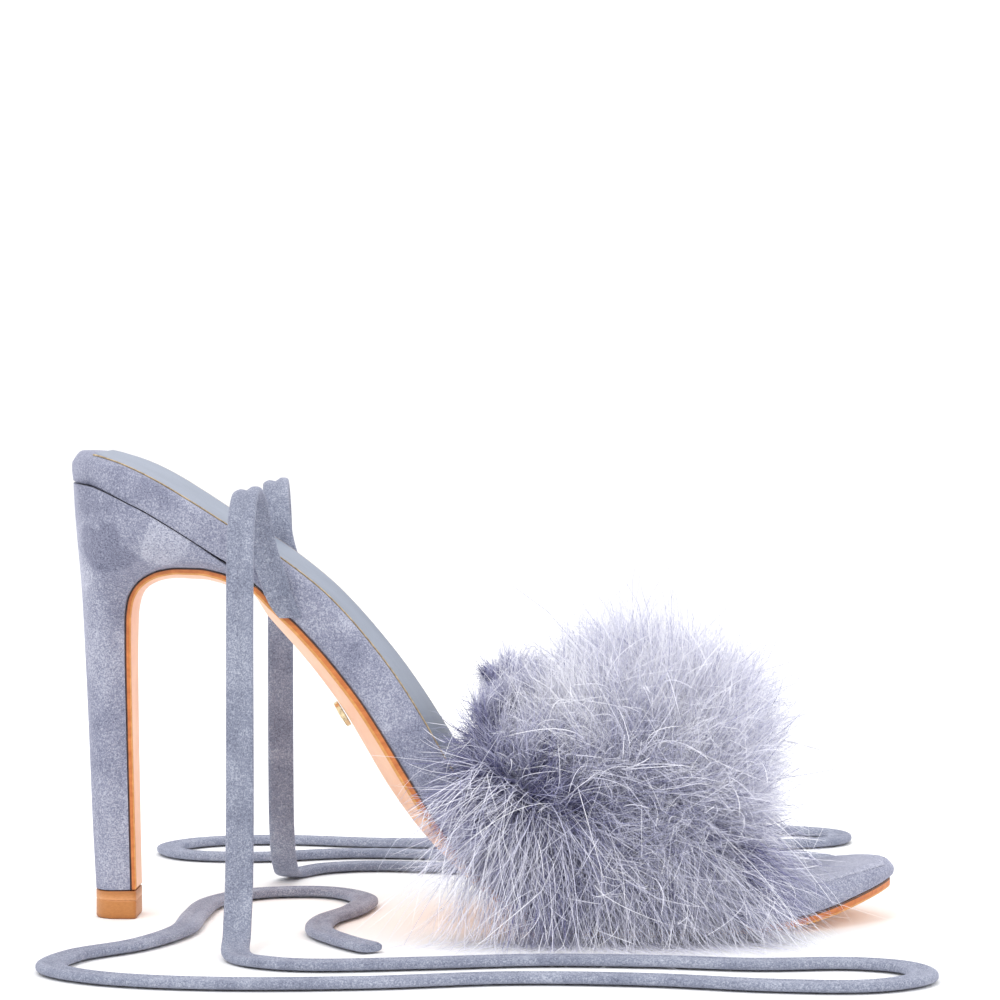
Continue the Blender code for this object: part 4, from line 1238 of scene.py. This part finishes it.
def tie_profile():
    """The section of a folded tie: two soft edges and a shallow seam down the rear face."""
    half, thick = TIE_WIDTH / 2, TIE_THICKNESS / 2
    points = []
    for k in range(24):
        angle = 2 * math.pi * k / 24
        wide = math.copysign(abs(math.cos(angle)) ** 0.62, math.cos(angle)) * half
        high = math.copysign(abs(math.sin(angle)) ** 0.72, math.sin(angle)) * thick
        if high < 0:
            high *= 1 - 0.55 * math.exp(-((wide / 0.00045) ** 2))
        points.append((wide, high))
    return points


def make_tie(name, node, route, face, looks):
    points, even = route_curve(route, TIE_STEP)
    wide, faces = strap_frames(points, even, face)
    profile = tie_profile()
    builder = bmesh.new()
    rings = []
    for spot, across, out, at in zip(points, wide, faces, even):
        closing = min(at, even[-1] - at)
        taper = 0.86 + 0.14 * float(ease(closing / 0.002))
        ring = [spot + across * a * taper + out * b * taper for a, b in profile]
        rings.append(add_ring(builder, ring))
    loft(builder, rings)
    mesh = finish_mesh(name, builder, 60)
    piece = place_piece(name, mesh, [looks["tie_suede"]], "suede", node)
    path = [tuple(float(v) for v in point) for point in points[::4]]
    path.append(tuple(float(v) for v in points[-1]))


def make_tie_root(name, side, looks):
    """The tie's sewn end, flat against the rim and cut off along the outsole's edge."""
    knots = np.array(TIE_ROOT) * np.array([1.0, side, 1.0])
    profile = tie_profile()
    builder = bmesh.new()
    rings = []
    along = unit(np.gradient(knots, axis=0))
    for k, (spot, direction) in enumerate(zip(knots, along)):
        out = np.array([0.0, side, 0.0])
        out = unit(out - direction * float(out @ direction))
        across = np.cross(direction, out)
        thin = 1.0 - 0.75 * k / (len(knots) - 1)
        slant = np.array([0.0, 0.0, 0.55 * k / (len(knots) - 1)])
        ring = [spot + (across - slant * across[0]) * a * 0.97 + out * b * thin for a, b in profile]
        rings.append(add_ring(builder, ring))
    loft(builder, rings)
    place_piece(name, finish_mesh(name, builder, 60), [looks["tie_suede"]], "suede")


# The feathers

BARB_STEPS = 4
STRAY_STEPS = 8
DOWN_STEPS = 3
PLUMES = 62
LOCKS_PER_PLUME = 14
BARBS_PER_LOCK = 26
STRAYS = 4600
DOWN_BARBS = 22000
FRINGE_BARBS = 1500
LOOSE_BARBS = 0.2
GOLDEN_STEP = 0.618
ROOT_SCATTER = 0.0016
PLUME_SCATTER = 0.30
PLUME_CURL = 0.42
LOCK_SCATTER = 0.24
LOCK_SAG = 0.32
TIP_SCATTER = 0.40
BARB_WIDTHS = (0.00010, 0.00020)
STRAY_WIDTHS = (0.00017, 0.00032)
FRINGE_WIDTHS = (0.00014, 0.00026)
DOWN_WIDTHS = (0.0002, 0.0004)
FEATHER_LOWEST = 0.0004
FRINGE_LOWEST = 0.0006
FLOW_CENTRE = np.array([0.014, 0.0, 0.047])
FLOW_CENTRE_DROP = 0.045
FLOW_REACH = 0.020


def ribbons(name, rng, centres, along, tones, widths, taper, looks):
    """Many tapered ribbons in one mesh, each on its own centre line and turned its own way.

    along runs from 0 at the root to 1 at the tip, widths are the least and the greatest
    width at the root, and taper is the share of it that is gone at the tip.
    """
    count, rows = centres.shape[:2]
    width = rng.uniform(*widths, (count, 1)) * (1.0 - taper * along)
    ahead = unit(centres[:, -1] - centres[:, 0])
    sides = unit(np.cross(ahead, rng.normal(0, 1, ahead.shape)))
    tones = np.clip(tones, 0, 1)
    half = width[:, :, None] * sides[:, None, :] / 2
    left, right = centres + half, centres - half
    pairs = np.stack([left[:, :-1], right[:, :-1]], axis=2).reshape(count, -1, 3)
    verts = np.concatenate([pairs, centres[:, -1:]], axis=1)
    verts[:, :, 2] = np.maximum(verts[:, :, 2], FEATHER_LOWEST)
    each = verts.shape[1]
    tone = np.concatenate([np.repeat(tones[:, :-1], 2, axis=1), tones[:, -1:]], axis=1)
    first = np.arange(count)[:, None] * each
    quads = []
    for k in range(rows - 2):
        corner = 2 * k
        quads.append(first + np.array([corner, corner + 1, corner + 3, corner + 2]))
    quads = np.stack(quads, axis=1).reshape(-1, 4)
    tips = first + np.array([each - 3, each - 2, each - 1])
    loops = np.concatenate([quads.ravel(), tips.ravel()])
    sizes = np.concatenate([np.full(len(quads), 4), np.full(len(tips), 3)])
    starts = np.concatenate([[0], np.cumsum(sizes)[:-1]])
    mesh = bpy.data.meshes.new(name)
    mesh.vertices.add(count * each)
    mesh.vertices.foreach_set("co", verts.astype(np.float32).ravel())
    mesh.loops.add(len(loops))
    mesh.loops.foreach_set("vertex_index", loops.astype(np.int32))
    mesh.polygons.add(len(sizes))
    mesh.polygons.foreach_set("loop_start", starts.astype(np.int32))
    mesh.attributes.new("tone", "FLOAT", "POINT")
    mesh.attributes["tone"].data.foreach_set("value", tone.astype(np.float32).ravel())
    mesh.update(calc_edges=True)
    mesh.shade_smooth()
    place_piece(name, mesh, [looks["feather"]], "feather", "feather_trim")


def feather_reach(share, around):
    crown, inner, outer = (float(curve_through(FEATHERS, k, share)) for k in (1, 2, 3))
    side = outer if around < 0.5 else inner
    rear = 1 - float(ease(share / 0.35))
    over = math.sin(math.pi * around) ** (1.5 - 0.9 * rear)
    return side + (crown - side) * over


def feather_flow(root, around):
    """The feathers leave the band and fan out from a point low on each side."""
    angle = math.pi * around
    off = np.array([0.0, -math.cos(angle), math.sin(angle)])
    crown = math.sin(angle) ** 2
    fan = root - FLOW_CENTRE + np.array([0.0, 0.0, FLOW_CENTRE_DROP * crown])
    fan = fan * np.array([1.0, 0.0, 1.0]) / FLOW_REACH
    fan /= max(1.0, float(np.linalg.norm(fan)))
    if fan[0] > 0:
        fan[0] *= 1 - 0.75 * crown
    return unit(off * (0.60 + 0.20 * crown) + fan * (0.95 - 0.35 * crown))


def plume_painted_light_and_shade(share, around):
    """Painted light and painted shade: paler over the crown, where the light falls, and painted shade
    darker and bluer on the outer side and at the rear edge.
    """
    over = math.sin(math.pi * around)
    rear = 1 - float(ease(share / 0.22))
    return 0.43 + 0.35 * over - 0.34 * rear * over


def make_locks(rng, share, around, count):
    """Start, middle and end points of the locks of one plume, and their lengths."""
    root = band_point(band_frame(share), around, BAND_THICKNESS + GAP)
    lean = unit(feather_flow(root, around) + rng.normal(0, PLUME_SCATTER, 3))
    start = root + rng.normal(0, ROOT_SCATTER, (count, 3))
    spread = unit(lean + rng.normal(0, LOCK_SCATTER, (count, 3)))
    curl = rng.normal(0, PLUME_CURL, 3) - np.array([0, 0, LOCK_SAG])
    bent = unit(spread + curl + rng.normal(0, TIP_SCATTER, (count, 3)))
    length = feather_reach(share, around) * rng.uniform(0.85, 1.10)
    length = length * rng.uniform(0.78, 1.18, (count, 1))
    middle = start + spread * length * 0.5
    end = middle + bent * length * 0.55
    return np.stack([start, middle, end], axis=1), length[:, 0]


def barbs_of(rng, locks, lengths):
    """Barbs that run with their locks, parted in the middle and drawn together at the tip."""
    lock = np.repeat(np.arange(len(locks)), BARBS_PER_LOCK)
    count = len(lock)
    loose = (rng.random((count, 1, 1)) < LOOSE_BARBS).astype(float)
    t = np.linspace(0, 1, BARB_STEPS + 1)[None, :, None]
    extent = 1.0 - 0.55 * rng.random((count, 1, 1)) ** 1.7 + 0.15 * loose
    at = t * extent
    p0, p1, p2 = (locks[lock, k][:, None] for k in range(3))
    line = (1 - at) ** 2 * p0 + 2 * at * (1 - at) * p1 + at**2 * p2
    length = lengths[lock][:, None, None]
    part = 0.03 + 0.115 * np.sin(math.pi * np.clip(at, 0, 1)) ** 1.3 + 0.02 * at
    part = part + 0.16 * loose * at**1.5
    line = line + rng.normal(0, 1, (count, 1, 3)) * length * part
    swing = np.sin(at * rng.uniform(4, 9, (count, 1, 1)) + rng.uniform(0, 6.3, (count, 1, 1)))
    line = line + rng.normal(0, 1, (count, 1, 3)) * swing * at * length * 0.045
    return lock, line, at[:, :, 0]


def make_feathers(looks):
    """Four quarters of plumes round the band, each plume a bunch of locks."""
    rng = np.random.default_rng(23)
    every_lock = []
    for quarter, place in enumerate(("outer_side", "outer_crown", "inner_crown", "inner_side")):
        locks, lengths, tones = [], [], []
        for k in range(PLUMES):
            share = (k + rng.random()) / PLUMES
            around = (quarter + (k * GOLDEN_STEP + rng.random() * 0.25) % 1.0) / 4
            points, length = make_locks(rng, share, around, LOCKS_PER_PLUME)
            locks.append(points)
            lengths.append(length)
            # the plume's painted light and painted shade, with its own random tone
            painted_light_and_tone = plume_painted_light_and_shade(share, around) + rng.normal(0.0, 0.17)
            tones.append(painted_light_and_tone + rng.normal(0.0, 0.14, LOCKS_PER_PLUME))
        locks, lengths, tones = (np.concatenate(rows) for rows in (locks, lengths, tones))
        lock, line, at = barbs_of(rng, locks, lengths)
        tone = tones[lock][:, None] + rng.normal(0.0, 0.06, (len(lock), 1))
        tone = tone - 0.30 + 0.52 * at
        ribbons(f"feathers_{place}", rng, line, at, tone, BARB_WIDTHS, 0.55, looks)
        every_lock.append(locks)
    make_highlight_strays(rng, np.concatenate(every_lock), looks)
    make_fringe(rng, looks)


def make_highlight_strays(rng, locks, looks):
    """Long pale barbs that stand clear of the mass and cross over it: painted highlights on the top
    layer.
    """
    lock = rng.integers(0, len(locks), STRAYS)
    p0, p1, p2 = (locks[lock, k] for k in range(3))
    begin = rng.uniform(0.30, 0.80, (STRAYS, 1))
    start = (1 - begin) ** 2 * p0 + 2 * begin * (1 - begin) * p1 + begin**2 * p2
    ahead = unit(unit(p2 - p0) + rng.normal(0, 0.33, (STRAYS, 3)))[:, None]
    bend = (rng.normal(0, 0.42, (STRAYS, 3)) + np.array([0, 0, -0.25]))[:, None]
    full = np.linalg.norm(p2 - p0, axis=1, keepdims=True)
    length = (full * (0.30 + 0.55 * rng.random((STRAYS, 1)) ** 1.4))[:, None]
    t = np.linspace(0, 1, STRAY_STEPS + 1)[None, :, None]
    line = start[:, None] + length * (ahead * t + bend * t**2)
    # tone near the pale end: painted highlight, a little darker towards the root
    tone = rng.normal(0.90, 0.09, (STRAYS, 1)) - 0.12 * (1 - t[:, :, 0])
    ribbons("feather_strays_painted_highlight", rng, line, t[:, :, 0], tone, STRAY_WIDTHS, 0.6, looks)


def make_fringe(rng, looks):
    """Long pale barbs that hang from the lower outer edge and spread over the floor."""
    spots, leans = [], []
    for _ in range(FRINGE_BARBS):
        share = 0.08 + 0.80 * rng.random() ** 1.5
        around = 0.16 * rng.random()
        root = band_point(band_frame(share), around, BAND_THICKNESS + GAP)
        lean = feather_flow(root, around) + np.array([0.8 * (share - 0.50), -0.3, -0.60])
        spots.append(root + unit(lean) * rng.uniform(0.004, 0.016))
        leans.append(lean)
    lean = unit(np.array(leans) + rng.normal(0, 0.30, (FRINGE_BARBS, 3)))[:, None]
    length = (0.014 + 0.019 * rng.random((FRINGE_BARBS, 1)))[:, None]
    bend = rng.normal(0, 0.28, (FRINGE_BARBS, 3))[:, None] + np.array([0, 0, -0.25])
    t = np.linspace(0, 1, STRAY_STEPS + 1)[None, :, None]
    line = np.array(spots)[:, None] + length * (lean * t + bend * t**2)
    low = np.maximum(FRINGE_LOWEST - line[:, :, 2], 0)
    line[:, :, 2] += low
    line[:, :, 1] -= low * 0.5
    tone = rng.normal(0.86, 0.10, (FRINGE_BARBS, 1)) - 0.20 * (1 - t[:, :, 0])
    ribbons("feather_fringe", rng, line, t[:, :, 0], tone, FRINGE_WIDTHS, 0.65, looks)


def make_down(looks):
    """Short fluff that hides the band between the plumes."""
    rng = np.random.default_rng(31)
    share, around = rng.random(DOWN_BARBS), rng.random(DOWN_BARBS)
    sections = [band_frame(value) for value in np.linspace(0, 1, 41)]
    spots, leans, reach = [], [], []
    for s, a in zip(share, around):
        root = band_point(sections[int(s * 40)], a, BAND_THICKNESS + GAP)
        spots.append(root)
        leans.append(feather_flow(root, a))
        reach.append(feather_reach(s, a))
    lean = unit(np.array(leans) + rng.normal(0, 0.45, (DOWN_BARBS, 3)))
    curl = unit(lean + rng.normal(0, 0.8, (DOWN_BARBS, 3)))
    room = np.clip(np.array(reach) / 0.018, 0.2, 1.0)[:, None, None]
    length = rng.uniform(0.006, 0.015, (DOWN_BARBS, 1, 1)) * room
    t = np.linspace(0, 1, DOWN_STEPS + 1)[None, :, None]
    line = np.array(spots)[:, None] + length * t * lean[:, None]
    line = line + length * t**2 * (curl - lean)[:, None] / 2
    tone = rng.normal(0.22, 0.09, (DOWN_BARBS, 1)) + 0.25 * t[:, :, 0]
    ribbons("feather_down", rng, line, t[:, :, 0], tone, DOWN_WIDTHS, 0.5, looks)


set_camera()
set_light()
make_floor()
looks = make_materials()
make_tie("tie_outer_suede", "tie_outer", OUTER_TIE, (0, -1, 0), looks)
make_tie("tie_inner_suede", "tie_inner", INNER_TIE, (0, 1, 0), looks)
make_tie_root("tie_outer_root", -1, looks)
make_tie_root("tie_inner_root", 1, looks)
make_footbed(looks)
make_sock(looks)
make_outsole(looks)
make_heel(looks)
make_heel_tip(looks)
make_band(looks)
make_stud(looks)
make_feathers(looks)
make_down(looks)
